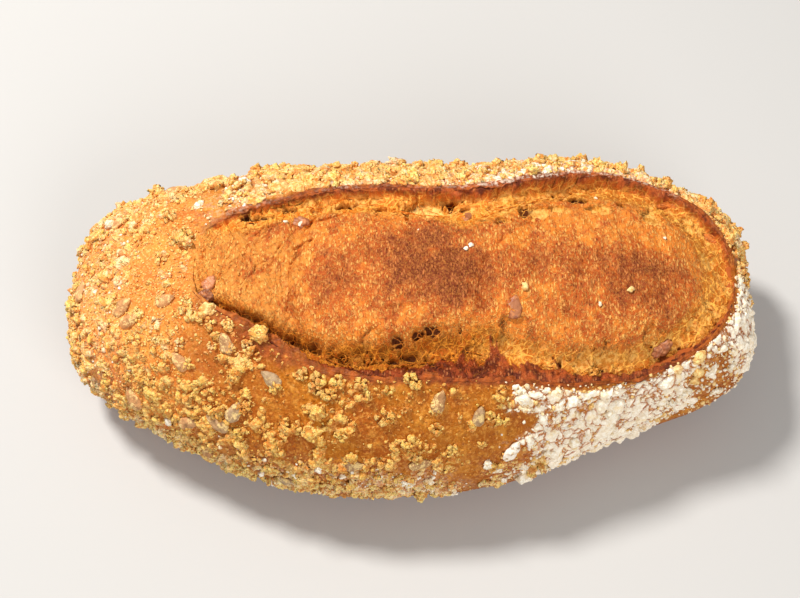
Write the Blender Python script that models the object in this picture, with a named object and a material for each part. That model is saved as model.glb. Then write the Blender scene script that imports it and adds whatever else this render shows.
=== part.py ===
"""Walnut bread: an oval loaf whose one long slash burst open as it baked.

Metres, +Z up. The origin is on the table under the middle of the loaf, +X runs along the loaf
and +Y to its far side. The loaf is one solid: a domed crust on a flat base, two raised lips
round the torn crumb, pits in the crumb, and meal clumps, sunflower kernels and nut pieces baked on.
"""

import math

import bmesh
import bpy
import numpy as np
from mathutils import Matrix, Vector

MM = 0.001

# Driving sizes
LENGTH = 262 * MM
WIDTH = 129 * MM
CRUST_HEIGHT = 80 * MM  # of the whole dome, before the slash opened
WAIST_HEIGHT = 32 * MM  # where the loaf is widest
BASE_DEPTH = 40 * MM  # of the rounded underside, which the table cuts off flat
MOUND_RISE = 4 * MM  # of the torn crumb over the dome

# The waist and the slash seen from above, as shares of half the length and half the width.
# Both start at the right end and run anticlockwise, with matching points on one rib.
WAIST = (
    (1.00, 0.17), (0.95, 0.65), (0.60, 0.98), (0.18, 0.99), (-0.18, 0.99), (-0.56, 0.91), (-0.92, 0.65),
    (-1.00, 0.17), (-0.95, -0.31), (-0.66, -0.71), (-0.25, -1.00), (0.24, -0.95), (0.62, -0.65), (0.96, -0.33),
)
SLASH = (
    (0.93, 0.08), (0.87, 0.45), (0.58, 0.67), (0.19, 0.53), (-0.13, 0.54), (-0.41, 0.43), (-0.56, 0.31),
    (-0.60, 0.09), (-0.59, -0.14), (-0.44, -0.34), (-0.20, -0.60), (0.21, -0.63), (0.55, -0.57), (0.82, -0.33),
)
LOAF_CENTRE = np.array([0.0, 0.06])
SLASH_CENTRE = np.array([0.17, 0.00])

DOME_POWER_SIDES = 2.3  # roundness of the dome across the loaf
DOME_POWER_ENDS = 3.0  # and along it, which is flatter
UNDERSIDE_POWER = 6.0

# How the slash's edge is made at each of its ribs, in millimetres: how far the lip stands up, how far
# the torn wall drops under it, how deep the valley inside is, how far in it lies, and the undercut.
EDGE = (
    (2.0, 2.0, 2.0, 8.0, 0.4), (4.0, 4.0, 3.0, 9.0, 0.2), (5.5, 5.0, 4.0, 9.5, 0.0), (5.0, 4.0, 4.5, 10.0, 0.0),
    (3.5, 3.5, 5.0, 10.0, 0.0), (2.0, 2.5, 4.0, 9.0, 0.0), (1.0, 1.2, 2.0, 7.0, 0.0), (0.6, 0.8, 0.8, 6.0, 0.0),
    (1.0, 2.0, 2.0, 5.5, 0.4), (2.0, 4.0, 5.0, 5.5, 1.2), (2.5, 2.2, 6.0, 11.0, 0.5), (3.0, 1.6, 6.0, 12.5, 0.2),
    (3.0, 2.6, 4.0, 9.5, 0.3), (2.5, 3.0, 3.0, 7.5, 0.6),
)
LIP_WIDTH = 11 * MM
LIP_EDGE = 1.3 * MM
WALL_WIDTH = 6 * MM
VALLEY_WIDTH = 6 * MM
SHOULDER = 18 * MM  # from the slash's edge to the foot of the mound

# Two folds run across the torn crumb, between its pillows: (x, y slope, depth, width)
FOLDS = ((-42 * MM, 0.35, 2.2 * MM, 4.5 * MM), (27 * MM, 0.25, 1.2 * MM, 5.0 * MM))

# Gentle waves of the dome: (wavelength along X, wavelength along Y, phase, height)
WAVES = (
    (96 * MM, 150 * MM, 0.6, 0.9 * MM),
    (61 * MM, 83 * MM, 2.1, 0.6 * MM),
    (38 * MM, 47 * MM, 4.0, 0.35 * MM),
)

COLUMNS = 92
CRUST_ROWS = 10
VALLEY_ROWS = 7
MOUND_ROWS = 6
UNDERSIDE_LEVELS = (0.16, 0.42, 0.70)  # shares of the waist's height

# Open cells of the crumb: (turn, way in: 0 under the lip, 1 at the mound's foot, 2 in its middle; radius)
PITS = (
    (0.311, 0.50, 2.8 * MM), (0.234, 0.30, 2.2 * MM), (0.262, 0.65, 4.4 * MM), (0.173, 0.75, 2.8 * MM),
    (0.142, 0.70, 2.4 * MM), (0.652, 0.47, 2.4 * MM), (0.703, 0.88, 3.0 * MM), (0.730, 0.92, 2.8 * MM),
    (0.748, 1.06, 3.4 * MM),
)

# Sunflower kernels: (turn, way down: 0 at the lip, 1 at the waist; heading in degrees from +X)
KERNELS = (
    (0.392, 0.58, 20), (0.443, 0.50, 50), (0.510, 0.68, 80), (0.568, 0.35, 25), (0.550, 0.36, 40),
    (0.563, 0.14, 10), (0.624, 0.38, 130), (0.640, 0.16, 115), (0.614, 0.80, 120), (0.678, 0.21, 140),
    (0.668, 0.52, 60), (0.662, 0.66, 150), (0.648, 0.77, 30), (0.659, 1.09, 95), (0.728, 0.72, 5),
    (0.698, 1.11, 150), (0.762, 0.18, 70), (0.754, 0.70, 10), (0.779, 0.30, 80), (0.793, 0.66, 60),
    (0.355, 1.05, 100), (0.300, 0.85, 30), (0.230, 1.10, 160), (0.160, 0.80, 60), (0.090, 0.95, 120),
)
KERNEL_SIZE = Vector((9.5, 5.4, 2.8)) * MM

# Nut pieces held in the torn crumb: (turn, way in, heading, length, width)
NUTS = (
    (0.832, 1.40, 95, 10.5 * MM, 5.5 * MM), (0.549, 0.33, 60, 6.5 * MM, 4.2 * MM), (0.573, 0.34, 30, 6 * MM, 4.5 * MM),
    (0.223, 0.70, 75, 6 * MM, 4 * MM), (0.374, 1.03, 20, 6 * MM, 4.5 * MM), (0.910, 0.49, 35, 8.5 * MM, 4.5 * MM),
)

# Lumps of damp flour: (turn, way down, radius)
FLOUR_LUMPS = (
    (0.800, 1.20, 3.4 * MM), (0.801, 0.17, 2.4 * MM), (0.847, 0.54, 2.3 * MM), (0.904, 0.34, 2.3 * MM),
    (0.825, 0.80, 2.2 * MM),
)

# Clumps of baked-on meal, largest first: (how many, radius, distance between their middles)
CLUMPS = ((20, 3.3 * MM, 13 * MM), (38, 2.6 * MM, 8 * MM), (46, 1.9 * MM, 6 * MM))
CLUMP_FLATNESS = 0.65
CLUMP_SEED = 11
FLOURED = (0.79, 0.95)  # turns between which flour takes the meal's place


def closed_curve(points, turn):
    """A smooth closed curve through the points (Catmull-Rom), read at each turn from 0 to 1."""
    points = np.asarray(points, float)
    count = len(points)
    along = (np.asarray(turn, float) % 1.0) * count
    start = np.floor(along).astype(int)
    f = (along - start)[..., None]
    before, here, there, after = (points[(start + k) % count] for k in (-1, 0, 1, 2))
    return 0.5 * (
        2 * here
        + (there - before) * f
        + (2 * before - 5 * here + 4 * there - after) * f**2
        + (3 * here - before - 3 * there + after) * f**3
    )


def in_metres(shares):
    return np.asarray(shares) * (LENGTH / 2, WIDTH / 2)


def waist(turn):
    return in_metres(closed_curve(WAIST, turn))


def slash(turn):
    return in_metres(closed_curve(SLASH, turn))


def slash_outward(turn):
    """The level direction in which the slash's edge faces, away from the opening."""
    step = 0.004
    along = slash(turn + step) - slash(turn - step)
    across = np.stack([along[..., 1], -along[..., 0]], -1)
    return across / np.linalg.norm(across, axis=-1, keepdims=True)


def edge_sizes(turn):
    """Lip rise, wall drop, valley depth, valley place and undercut at a turn."""
    return np.moveaxis(closed_curve(EDGE, turn) * MM, -1, 0)


def waves(x, y):
    total = np.zeros(np.shape(x))
    for length_x, length_y, phase, height in WAVES:
        total += height * np.sin(x / length_x * math.tau + phase) * np.cos(y / length_y * math.tau + phase)
    return total


def dome(plan):
    """Height of the whole dome over a point seen from above: 1 - share**power, under a square root."""
    outline = waist(np.linspace(0, 1, 721)) - in_metres(LOAF_CENTRE)
    angle = np.unwrap(np.arctan2(outline[:, 1], outline[:, 0]))
    radius = np.linalg.norm(outline, axis=1)
    from_centre = plan - in_metres(LOAF_CENTRE)
    here = angle[0] + (np.arctan2(from_centre[..., 1], from_centre[..., 0]) - angle[0]) % math.tau
    share = np.linalg.norm(from_centre, axis=-1) / np.interp(here, angle, radius)
    power = DOME_POWER_SIDES + (DOME_POWER_ENDS - DOME_POWER_SIDES) * np.cos(here) ** 2
    rise = np.sqrt(np.clip(1 - share**power, 0, 1))
    return WAIST_HEIGHT + (CRUST_HEIGHT - WAIST_HEIGHT + waves(plan[..., 0], plan[..., 1])) * rise


def crust_point(turn, down):
    """A point of the crust. down is 0 at the slash's lip, 1 at the waist and 2 at the base's edge."""
    turn, down = np.broadcast_arrays(np.asarray(turn, float), np.asarray(down, float))
    edge, outer = slash(turn), waist(turn)
    out = np.sin(np.clip(down, 0, 1) * math.pi / 2)[..., None]
    plan = edge + (outer - edge) * out
    from_lip = np.linalg.norm(plan - edge, axis=-1)
    height = dome(plan) + edge_sizes(turn)[0] * np.exp(-((from_lip / LIP_WIDTH) ** 2))
    below = WAIST_HEIGHT * np.clip(down - 1, 0, 1)
    share = (1 - (below / BASE_DEPTH) ** 2) ** (1 / UNDERSIDE_POWER)
    centre = in_metres(LOAF_CENTRE)
    lower = centre + (outer - centre) * share[..., None]
    under = down > 1
    plan = np.where(under[..., None], lower, plan)
    height = np.where(under, WAIST_HEIGHT - below, height)
    return np.concatenate([plan, height[..., None]], -1)


def folds(plan):
    """Depth of the folds between the pillows of crumb."""
    total = np.zeros(plan.shape[:-1])
    for place, slope, depth, width in FOLDS:
        total += depth * np.exp(-(((plan[..., 0] - place - slope * plan[..., 1]) / width) ** 2))
    return total


def torn_point(turn, inward):
    """A point of the torn crumb. inward is 0 under the lip, 1 at the mound's foot and 2 in its middle."""
    turn, inward = np.broadcast_arrays(np.asarray(turn, float), np.asarray(inward, float))
    rise, drop, depth, place, undercut = edge_sizes(turn)
    edge = slash(turn) + slash_outward(turn) * undercut[..., None]
    reach = in_metres(SLASH_CENTRE) - edge
    radius = np.linalg.norm(reach, axis=-1)
    distance = SHOULDER * np.clip(inward, 0, 1) + (radius - SHOULDER) * np.clip(inward - 1, 0, 1)
    plan = edge + reach * (distance / radius)[..., None]
    nearing = np.clip(1 - distance / WALL_WIDTH, 0, 1)
    wall = nearing**2 * (3 - 2 * nearing)
    height = (
        dome(plan)
        + MOUND_RISE * (1 - (1 - distance / radius) ** 2) ** 2
        + (rise - drop) * wall
        - depth * np.exp(-(((distance - place) / VALLEY_WIDTH) ** 2))
        - folds(plan) * (1 - wall)
    )
    return np.concatenate([plan, height[..., None]], -1)


def loaf_rings():
    """The loaf's rings, from the base's middle up the side, over the lip and in to the mound."""
    turn = np.arange(COLUMNS) / COLUMNS
    base_edge = crust_point(turn, 2.0)
    centre = np.append(in_metres(LOAF_CENTRE), 0.0)
    rings = [centre + (base_edge - centre) * share for share in (0.5, 1.0)]
    rings += [crust_point(turn, 2.0 - level) for level in UNDERSIDE_LEVELS]
    rings += [crust_point(turn, down) for down in np.linspace(1, 0, CRUST_ROWS)]
    lip, bottom = rings[-1], torn_point(turn, 0.0)
    outward = np.concatenate([slash_outward(turn), np.zeros((COLUMNS, 1))], -1)
    nose = lip - outward * LIP_EDGE - (0, 0, 0.6 * LIP_EDGE)
    throat = lip * 0.45 + bottom * 0.55
    rings += [nose, throat]
    rings += [torn_point(turn, inward) for inward in np.linspace(0, 1, VALLEY_ROWS)]
    rings += [torn_point(turn, inward) for inward in np.linspace(1, 1.9, MOUND_ROWS + 1)[1:]]
    return np.stack(rings), centre, torn_point(0.0, 2.0)


def lofted(name, rings, first_pole, last_pole):
    """A closed mesh through rings of equal count, shut by a fan at each end."""
    count = rings.shape[1]
    points = np.concatenate([rings.reshape(-1, 3), [first_pole], [last_pole]])
    ring, column = np.meshgrid(np.arange(len(rings) - 1), np.arange(count), indexing="ij")
    following = (column + 1) % count
    here, above = ring * count, (ring + 1) * count
    quads = np.stack([here + column, here + following, above + following, above + column], -1)
    faces = quads.reshape(-1, 4).tolist()
    low, high, last = len(points) - 2, len(points) - 1, (len(rings) - 1) * count
    for column in range(count):
        following = (column + 1) % count
        faces.append((low, following, column))
        faces.append((last + column, last + following, high))
    mesh = bpy.data.meshes.new(name)
    mesh.from_pydata(points.tolist(), [], faces)
    mesh.validate()
    return mesh


def linked(name, mesh, collection, material=None):
    obj = bpy.data.objects.new(name, mesh)
    collection.objects.link(obj)
    if material:
        mesh.materials.append(material)
    return obj


def facing(surface, turn, across):
    """Place and outward direction on a surface function at one pair of its parameters."""
    step = 0.002
    here = surface(turn, across)
    along = surface(turn + step, across) - surface(turn - step, across)
    down = surface(turn, across + step) - surface(turn, across - step)
    outward = Vector(np.cross(down, along))
    if outward.dot(Vector(here) - Vector((0, 0, WAIST_HEIGHT))) < 0:
        outward.negate()
    return Vector(here), outward.normalized()


def on_surface(place, outward, heading):
    """A frame whose Z is the surface's outward direction and X a heading in degrees from +X."""
    along = (Vector((1, 0, 0)) - outward * outward.x).normalized()
    across = outward.cross(along)
    upright = Matrix((along, across, outward)).transposed().to_4x4()
    return Matrix.Translation(place) @ upright @ Matrix.Rotation(math.radians(heading), 4, "Z")


def kernel_mesh(size):
    """A sunflower kernel: a flattened ball, pointed at one end."""
    shape = bmesh.new()
    bmesh.ops.create_uvsphere(shape, u_segments=6, v_segments=4, radius=0.5)
    for vert in shape.verts:
        x, y, z = vert.co
        slim = 1 - 0.75 * max(z, 0)
        vert.co = (z * size.x, x * size.y * slim, y * size.z * slim)
    mesh = bpy.data.meshes.new("kernel")
    shape.to_mesh(mesh)
    shape.free()
    return mesh


def clump_mesh(radius, random):
    """A clump of meal: a ball of twenty faces with its corners pushed in and out."""
    shape = bmesh.new()
    bmesh.ops.create_icosphere(shape, subdivisions=1, radius=radius)
    for vert in shape.verts:
        vert.co *= random.uniform(0.75, 1.2)
        vert.co.z *= CLUMP_FLATNESS
    mesh = bpy.data.meshes.new("clump")
    shape.to_mesh(mesh)
    shape.free()
    return mesh


def clump_places():
    """Where the lumps lie as (turn, way down, radius): seeded draws kept clear of each other and the lip."""
    random = np.random.default_rng(CLUMP_SEED)
    taken = [crust_point(turn, down) for turn, down, _ in KERNELS + FLOUR_LUMPS]
    places = list(FLOUR_LUMPS)
    for count, radius, spacing in CLUMPS:
        wanted = len(places) + count
        while len(places) < wanted:
            turn, down = random.random(), random.uniform(0.06, 1.25)
            if FLOURED[0] < turn < FLOURED[1] and random.random() > 0.2:
                continue
            place = crust_point(turn, down)
            clear = np.linalg.norm(place - crust_point(turn, 0.0)) > 1.6 * radius
            if clear and all(np.linalg.norm(place - other) > spacing for other in taken):
                taken.append(place)
                places.append((turn, down, radius))
    return places


def make_toppings(collection):
    for turn, down, heading in KERNELS:
        place, outward = facing(crust_point, turn, down)
        kernel = linked("kernel", kernel_mesh(KERNEL_SIZE), collection)
        kernel.matrix_world = on_surface(place + outward * 0.2 * KERNEL_SIZE.z, outward, heading)
    for turn, inward, heading, length, width in NUTS:
        place, outward = facing(torn_point, turn, inward)
        nut = linked("nut", kernel_mesh(Vector((length, width, 0.8 * width))), collection)
        nut.matrix_world = on_surface(place, outward, heading)
    random = np.random.default_rng(CLUMP_SEED + 1)
    for turn, down, radius in clump_places():
        place, outward = facing(crust_point, turn, down)
        clump = linked("clump", clump_mesh(radius, random), collection)
        clump.matrix_world = on_surface(place + outward * 0.1 * radius, outward, random.uniform(0, 360))


def make_pit_cutters(collection):
    for turn, inward, radius in PITS:
        place, outward = facing(torn_point, turn, inward)
        shape = bmesh.new()
        bmesh.ops.create_icosphere(shape, subdivisions=1, radius=radius)
        mesh = bpy.data.meshes.new("pit")
        shape.to_mesh(mesh)
        shape.free()
        linked("pit", mesh, collection).location = place + outward * 0.25 * radius


def combine(obj, collection, operation):
    """Adds the collection's shapes to the object or cuts them from it, then removes them."""
    joint = obj.modifiers.new(operation.lower(), "BOOLEAN")
    joint.operation = operation
    joint.operand_type = "COLLECTION"
    joint.collection = collection
    joint.solver = "MANIFOLD"
    bpy.context.view_layer.update()
    shaped = bpy.data.meshes.new_from_object(obj.evaluated_get(bpy.context.evaluated_depsgraph_get()))
    obj.modifiers.clear()
    obj.data = shaped
    for used in list(collection.objects):
        bpy.data.objects.remove(used)
    bpy.data.collections.remove(collection)


def baked_crust():
    material = bpy.data.materials.new("baked_crust")
    material.use_nodes = True
    surface = material.node_tree.nodes["Principled BSDF"]
    surface.inputs["Base Color"].default_value = (0.62, 0.27, 0.06, 1)
    surface.inputs["Roughness"].default_value = 0.55
    surface.inputs["Metallic"].default_value = 0.0
    return material


def new_collection(name):
    made = bpy.data.collections.new(name)
    bpy.context.scene.collection.children.link(made)
    return made


def main():
    for obj in list(bpy.data.objects):
        bpy.data.objects.remove(obj)
    bread = new_collection("walnut_bread")
    loaf = linked("loaf", lofted("loaf", *loaf_rings()), bread, baked_crust())
    cutters = new_collection("pits")
    make_pit_cutters(cutters)
    combine(loaf, cutters, "DIFFERENCE")
    toppings = new_collection("toppings")
    make_toppings(toppings)
    combine(loaf, toppings, "UNION")
    loaf.data.shade_smooth()
    loaf.data.set_sharp_from_angle(angle=math.radians(40))


main()
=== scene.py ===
"""The looks of the walnut bread: a floured, meal-crusted loaf whose one long slash burst open.

Metres, +Z up, +X along the loaf and +Y to its far side, as in the frame. Every surface is worked out
with numpy as a function of two parameters: turn goes once round the loaf from its right end, by way
of the far side, and the other goes down the crust, or in across the torn crumb.
"""

import math

import bpy
import numpy as np
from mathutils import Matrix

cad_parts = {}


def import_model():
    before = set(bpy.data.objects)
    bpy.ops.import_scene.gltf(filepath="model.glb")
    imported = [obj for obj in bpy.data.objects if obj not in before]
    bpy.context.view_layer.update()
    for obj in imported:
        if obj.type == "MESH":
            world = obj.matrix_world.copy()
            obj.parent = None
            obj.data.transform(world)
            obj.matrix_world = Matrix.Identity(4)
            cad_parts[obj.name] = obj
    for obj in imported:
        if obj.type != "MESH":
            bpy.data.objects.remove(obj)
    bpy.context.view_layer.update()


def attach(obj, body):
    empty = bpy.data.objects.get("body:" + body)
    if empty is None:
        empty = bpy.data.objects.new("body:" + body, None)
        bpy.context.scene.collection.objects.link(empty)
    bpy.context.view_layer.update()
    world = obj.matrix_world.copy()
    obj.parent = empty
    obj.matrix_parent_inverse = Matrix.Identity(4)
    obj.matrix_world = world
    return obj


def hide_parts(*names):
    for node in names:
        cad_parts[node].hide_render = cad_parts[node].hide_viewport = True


MM = 0.001
BODY = "root"

# ------------------------------------------------------------------ sizes shared with the solid

LENGTH = 262 * MM
WIDTH = 129 * MM
CRUST_HEIGHT = 80 * MM
WAIST_HEIGHT = 32 * MM
BASE_DEPTH = 40 * MM
MOUND_RISE = 4 * MM
WAIST = (
    (1.00, 0.17), (0.95, 0.65), (0.60, 0.98), (0.18, 0.99), (-0.18, 0.99), (-0.56, 0.91), (-0.92, 0.65),
    (-1.00, 0.17), (-0.95, -0.31), (-0.66, -0.71), (-0.25, -1.00), (0.24, -0.95), (0.62, -0.65),
    (0.96, -0.33),
)
SLASH = (
    (0.93, 0.08), (0.87, 0.45), (0.58, 0.67), (0.19, 0.53), (-0.13, 0.54), (-0.41, 0.43), (-0.56, 0.31),
    (-0.60, 0.09), (-0.59, -0.14), (-0.44, -0.34), (-0.20, -0.60), (0.21, -0.63), (0.55, -0.57),
    (0.82, -0.33),
)
LOAF_CENTRE = np.array([0.0, 0.06])
SLASH_CENTRE = np.array([0.17, 0.00])
DOME_POWER_SIDES = 2.3
DOME_POWER_ENDS = 3.0
UNDERSIDE_POWER = 6.0
# At each rib of the slash, in millimetres: lip rise, wall drop, valley depth, valley place, undercut
EDGE = (
    (2.0, 2.0, 2.0, 8.0, 0.4), (4.0, 4.0, 3.0, 9.0, 0.2), (5.5, 5.0, 4.0, 9.5, 0.0),
    (5.0, 4.0, 4.5, 10.0, 0.0), (3.5, 3.5, 5.0, 10.0, 0.0), (2.0, 2.5, 4.0, 9.0, 0.0),
    (1.0, 1.2, 2.0, 7.0, 0.0), (0.6, 0.8, 0.8, 6.0, 0.0), (1.0, 2.0, 2.0, 5.5, 0.4),
    (2.0, 4.0, 5.0, 5.5, 1.2), (2.5, 2.2, 6.0, 11.0, 0.5), (3.0, 1.6, 6.0, 12.5, 0.2),
    (3.0, 2.6, 4.0, 9.5, 0.3), (2.5, 3.0, 3.0, 7.5, 0.6),
)
LIP_WIDTH = 11 * MM
WALL_WIDTH = 6 * MM
VALLEY_WIDTH = 6 * MM
SHOULDER = 18 * MM
WAVES = (
    (96 * MM, 150 * MM, 0.6, 0.9 * MM),
    (61 * MM, 83 * MM, 2.1, 0.6 * MM),
    (38 * MM, 47 * MM, 4.0, 0.35 * MM),
)
# Sunflower kernels: (turn, way down, heading in degrees from +X)
KERNELS = (
    (0.392, 0.58, 20), (0.443, 0.50, 50), (0.510, 0.68, 80), (0.568, 0.35, 25), (0.550, 0.36, 40),
    (0.563, 0.14, 10), (0.624, 0.38, 130), (0.640, 0.16, 115), (0.614, 0.80, 120), (0.678, 0.21, 140),
    (0.668, 0.52, 60), (0.662, 0.66, 150), (0.648, 0.77, 30), (0.659, 1.09, 95), (0.728, 0.72, 5),
    (0.698, 1.11, 150), (0.762, 0.18, 70), (0.754, 0.70, 10), (0.779, 0.30, 80), (0.793, 0.66, 60),
    (0.355, 1.05, 100), (0.300, 0.85, 30), (0.230, 1.10, 160), (0.160, 0.80, 60), (0.090, 0.95, 120),
)
KERNEL_SIZE = np.array([9.5, 5.4, 2.8]) * MM
# Nut pieces held in the torn crumb: (turn, way in, heading, length, width)
NUTS = (
    (0.832, 1.40, 95, 10.5 * MM, 5.5 * MM), (0.549, 0.33, 60, 6.5 * MM, 4.2 * MM),
    (0.570, 0.17, 30, 6.5 * MM, 6.0 * MM), (0.223, 0.70, 75, 6 * MM, 4 * MM),
    (0.374, 1.03, 20, 6 * MM, 4.5 * MM), (0.910, 0.49, 35, 8.5 * MM, 4.5 * MM),
)
FLOUR_LUMPS = (
    (0.800, 1.20, 3.4 * MM), (0.801, 0.17, 2.4 * MM), (0.847, 0.54, 2.3 * MM), (0.904, 0.34, 2.3 * MM),
    (0.825, 0.80, 2.2 * MM),
)
CLUMPS = ((20, 3.3 * MM, 13 * MM), (38, 2.6 * MM, 8 * MM), (46, 1.9 * MM, 6 * MM))
CLUMP_SEED = 11
# Balls of meal at the slash's left corner and by its near right lip: (turn, way down, radius)
MEAL_BALLS = (
    (0.602, 0.035, 2.8 * MM), (0.914, 0.10, 2.5 * MM), (0.898, 0.44, 1.8 * MM), (0.897, 0.14, 1.9 * MM),
)
# Clumps where the photograph shows them by the slash: (turn, way down, radius)
LIP_CLUMPS = (
    (0.618, 0.10, 2.4 * MM), (0.586, 0.09, 2.4 * MM), (0.704, 0.12, 3.4 * MM), (0.716, 0.09, 2.8 * MM),
    (0.695, 0.10, 2.6 * MM), (0.728, 0.06, 2.4 * MM), (0.712, 0.17, 3.2 * MM), (0.751, 0.03, 3.0 * MM),
    (0.740, 0.10, 2.0 * MM), (0.800, 0.10, 2.2 * MM), (0.655, 0.12, 2.6 * MM), (0.630, 0.06, 2.2 * MM),
)
FLOURED = (0.79, 0.95)

# ------------------------------------------------------------------ sizes of the finer detail

CRUST_COLUMNS = 700
CRUST_ROWS = 66
CRUMB_GRID = (640, 256)  # along and across the slash
CRUMB_PARTS = 320  # the column at which the torn crumb is parted into its left and right meshes
LIP_TUCK = 1.8 * MM  # how far the torn crumb runs on under the lip
# The heights inside the loaf at which meshes close: the crust's inner wall, the torn crumb and the coats
THROAT_HEIGHT = 50 * MM
CRUMB_POINT = 56 * MM
COAT_POINT = 45 * MM
# At each rib of the slash, in millimetres: the lip's roundness, how far the browned skin runs in over the
# crumb, and how far it is dark on the crust's side; and then how dark it is, from 0 to 1
LIP_FORM = (
    (0.5, 1.0, 1.1, 0.35), (0.8, 2.6, 1.2, 0.9), (0.9, 3.4, 1.0, 1.0), (0.8, 3.0, 1.0, 1.0),
    (0.8, 2.6, 1.4, 1.0), (0.6, 2.2, 2.6, 1.0), (0.4, 1.2, 1.6, 0.6), (0.10, -5.0, 0.1, -0.3),
    (0.4, 0.4, 3.0, 0.3), (0.9, 1.4, 8.0, 0.8), (1.1, 4.5, 2.8, 0.9), (1.2, 7.4, 2.4, 1.0),
    (1.1, 4.2, 1.6, 0.9), (0.8, 2.2, 1.5, 0.75),
)
# Spikes of skin torn across the near valley: (turn, reach, half width in turns)
SKIN_SPIKES = ((0.793, 9 * MM, 0.012), (0.815, 4 * MM, 0.010), (0.835, 8 * MM, 0.004), (0.760, 3 * MM, 0.006))
# Where the right pillow of crumb folds over the left one: (y, x) in mm, from the near side to the far
FOLD_LINE = (
    (-30, -38), (-16, -42.4), (-8, -43.8), (0, -43.4), (8, -41), (16, -38.8), (28, -32), (31, -24),
    (36, -16),
)
CREASE_LINE = (
    (-30, 31), (-23, 27), (-7, 24.6), (-1.6, 25.4), (1, 27), (4, 29.8), (10, 33), (26, 37),
)
# Small creases in the crumb: points (x, y) in mm, then depth and half width
CREASES = (
    (((-61, -2), (-61.3, 2.4), (-60.7, 6.1), (-59.3, 10)), 0.8, 0.42),
    (((-58.6, -7), (-58.2, -3.6), (-57, 1)), 0.7, 0.40),
    (((-49.8, 4), (-49.2, 6), (-47.4, 9.5), (-46, 12)), 0.9, 0.45),
    (((-41.8, -5), (-41.2, -9), (-40.6, -14)), 1.0, 0.5),
    (((-42, 8), (-40, 9.4), (-36, 11.4)), 1.0, 0.42), (((-68, 8), (-69, 1), (-68, -5)), 0.5, 0.40),
    (((-53, -6), (-54, -11), (-52.5, -16)), 0.7, 0.45), (((-45, -12), (-44, -18)), 0.7, 0.4),
    (((-36, 20), (-30, 20.4), (-25, 23)), 1.0, 0.5), (((-20, -14), (-10, -17), (0, -17)), 0.5, 0.6),
    (((-75.5, 13), (-76.8, 6), (-76.6, 0), (-75.4, -5)), 1.2, 0.5), (((45, -14), (56, -16)), 0.5, 0.6),
    (((36, 12), (40, 17), (47, 19)), 0.6, 0.5), (((-64, 14), (-58, 17), (-50, 18)), 0.5, 0.45),
)
# How brown the mound is: (x, y, half length, half width, share) in mm
TOAST_SPOTS = (
    (5, -2, 26, 16, 0.66), (15, -5, 14, 12, 0.38), (4, 13, 15, 6, 0.36), (-27, -6, 12, 12, 0.26),
    (80, -6, 22, 16, 0.46), (88, 2, 12, 9, 0.24), (58, 0, 16, 13, 0.26), (42, 0, 12, 11, 0.18),
)
# Open cells stretched in the valleys: (x, y, half length, half width, depth, darkness) in mm. Darkness is
# painted shade inside a cell; far cells with none get a floor painted pale as light.
HOLLOWS = (
    (-24, 27, 3.2, 1.7, 2.6, 1.0), (-18.5, 28.4, 3.4, 1.8, 1.3, 0.15), (5.8, 26.2, 8.2, 5.6, 2.4, 0.0),
    (14.5, 28.6, 2.6, 2.1, 3.2, 1.0), (-1.6, 25.0, 1.6, 3.8, 1.8, 0.7), (42, 24.5, 2.0, 4.2, 2.4, 0.7),
    (47, 23.4, 4.2, 3.6, 1.5, 0.0), (33.5, 18.6, 2.6, 1.6, 1.9, 0.6), (27, 19, 1.6, 1.0, 1.4, 0.5),
    (62, 31, 4.6, 1.7, 2.2, 0.8), (54.5, 25.6, 3.8, 2.0, 1.3, 0.0), (78.5, 29.4, 2.4, 1.3, 1.6, 0.5),
    (90, 25.6, 4.6, 3.8, 1.3, 0.0), (70, 26.4, 5.0, 2.8, 1.1, 0.0), (-34, 25.6, 4.0, 2.0, 1.3, 0.1),
    (-10, 25.5, 4.4, 2.4, 1.6, 0.1), (-45, 25.5, 4.4, 1.3, 1.5, 0.55), (22, 25.5, 3.2, 2.6, 1.4, 0.0),
    (-55, 22.5, 4.6, 1.1, 1.4, 0.6), (30, 26, 2.4, 1.6, 1.3, 0.2), (-5, -27.8, 2.4, 1.8, 1.8, 0.8),
    (1.8, -25.8, 1.9, 1.5, 2.2, 1.0), (7.2, -24, 2.8, 1.9, 2.4, 1.0), (10.8, -24.4, 2.2, 2.0, 0.9, 0.1),
    (17.5, -23.5, 0.6, 1.0, 1.8, 1.0), (-0.4, -31.5, 3.2, 1.7, 1.4, 0.6), (-6.5, -33, 2.6, 1.4, 1.4, 0.6),
    (-14, -27, 4.0, 2.6, 0.9, 0.0), (-24.4, -31, 2.4, 1.3, 1.8, 0.6), (-19, -30.5, 2.6, 1.2, 1.2, 0.3),
    (-34.7, -26.3, 2.0, 1.4, 1.6, 0.5), (-28, -28, 1.5, 1.1, 1.4, 0.4), (22, -29, 3.6, 2.6, 0.8, 0.0),
    (36.5, -22.5, 5.0, 3.8, 1.2, 0.0), (33, -26, 1.6, 2.8, 1.2, 0.3), (87, -21, 3.4, 2.8, 0.9, 0.05),
    (71.5, -28, 4.6, 2.6, 0.9, 0.05), (53.5, -31.3, 1.0, 2.2, 1.4, 0.5), (62, -30, 3.6, 2.2, 0.7, 0.0),
    (80, -27, 2.4, 1.6, 0.9, 0.2),
)
# The thin edge of crust that leans in over the crumb: its reach and its curl upwards at each rib, in mm
EDGE_REACH = (0.5, 0.9, 1.2, 1.2, 1.2, 1.3, 0.3, -1.2, -0.6, 1.6, 1.4, 1.2, 1.0, 0.7)
EDGE_CURL = (0.2, 0.3, 0.2, 0.3, 0.5, 0.6, -0.3, -2.0, -1.4, 0.5, 0.4, 0.5, 0.3, 0.3)
EDGE_THICKNESS = 0.9 * MM
NO_EDGE_AT = 0.52  # the turn round which the thin edge sinks out of sight
JOINED_AT = 0.505  # the turn round which crust and crumb run into each other without a lip
EDGE_COLUMNS = 1100
EDGE_ROWS = 9
THREAD_COUNT = 110
THREAD_RINGS = 9
THREAD_SIDES = 5
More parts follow.
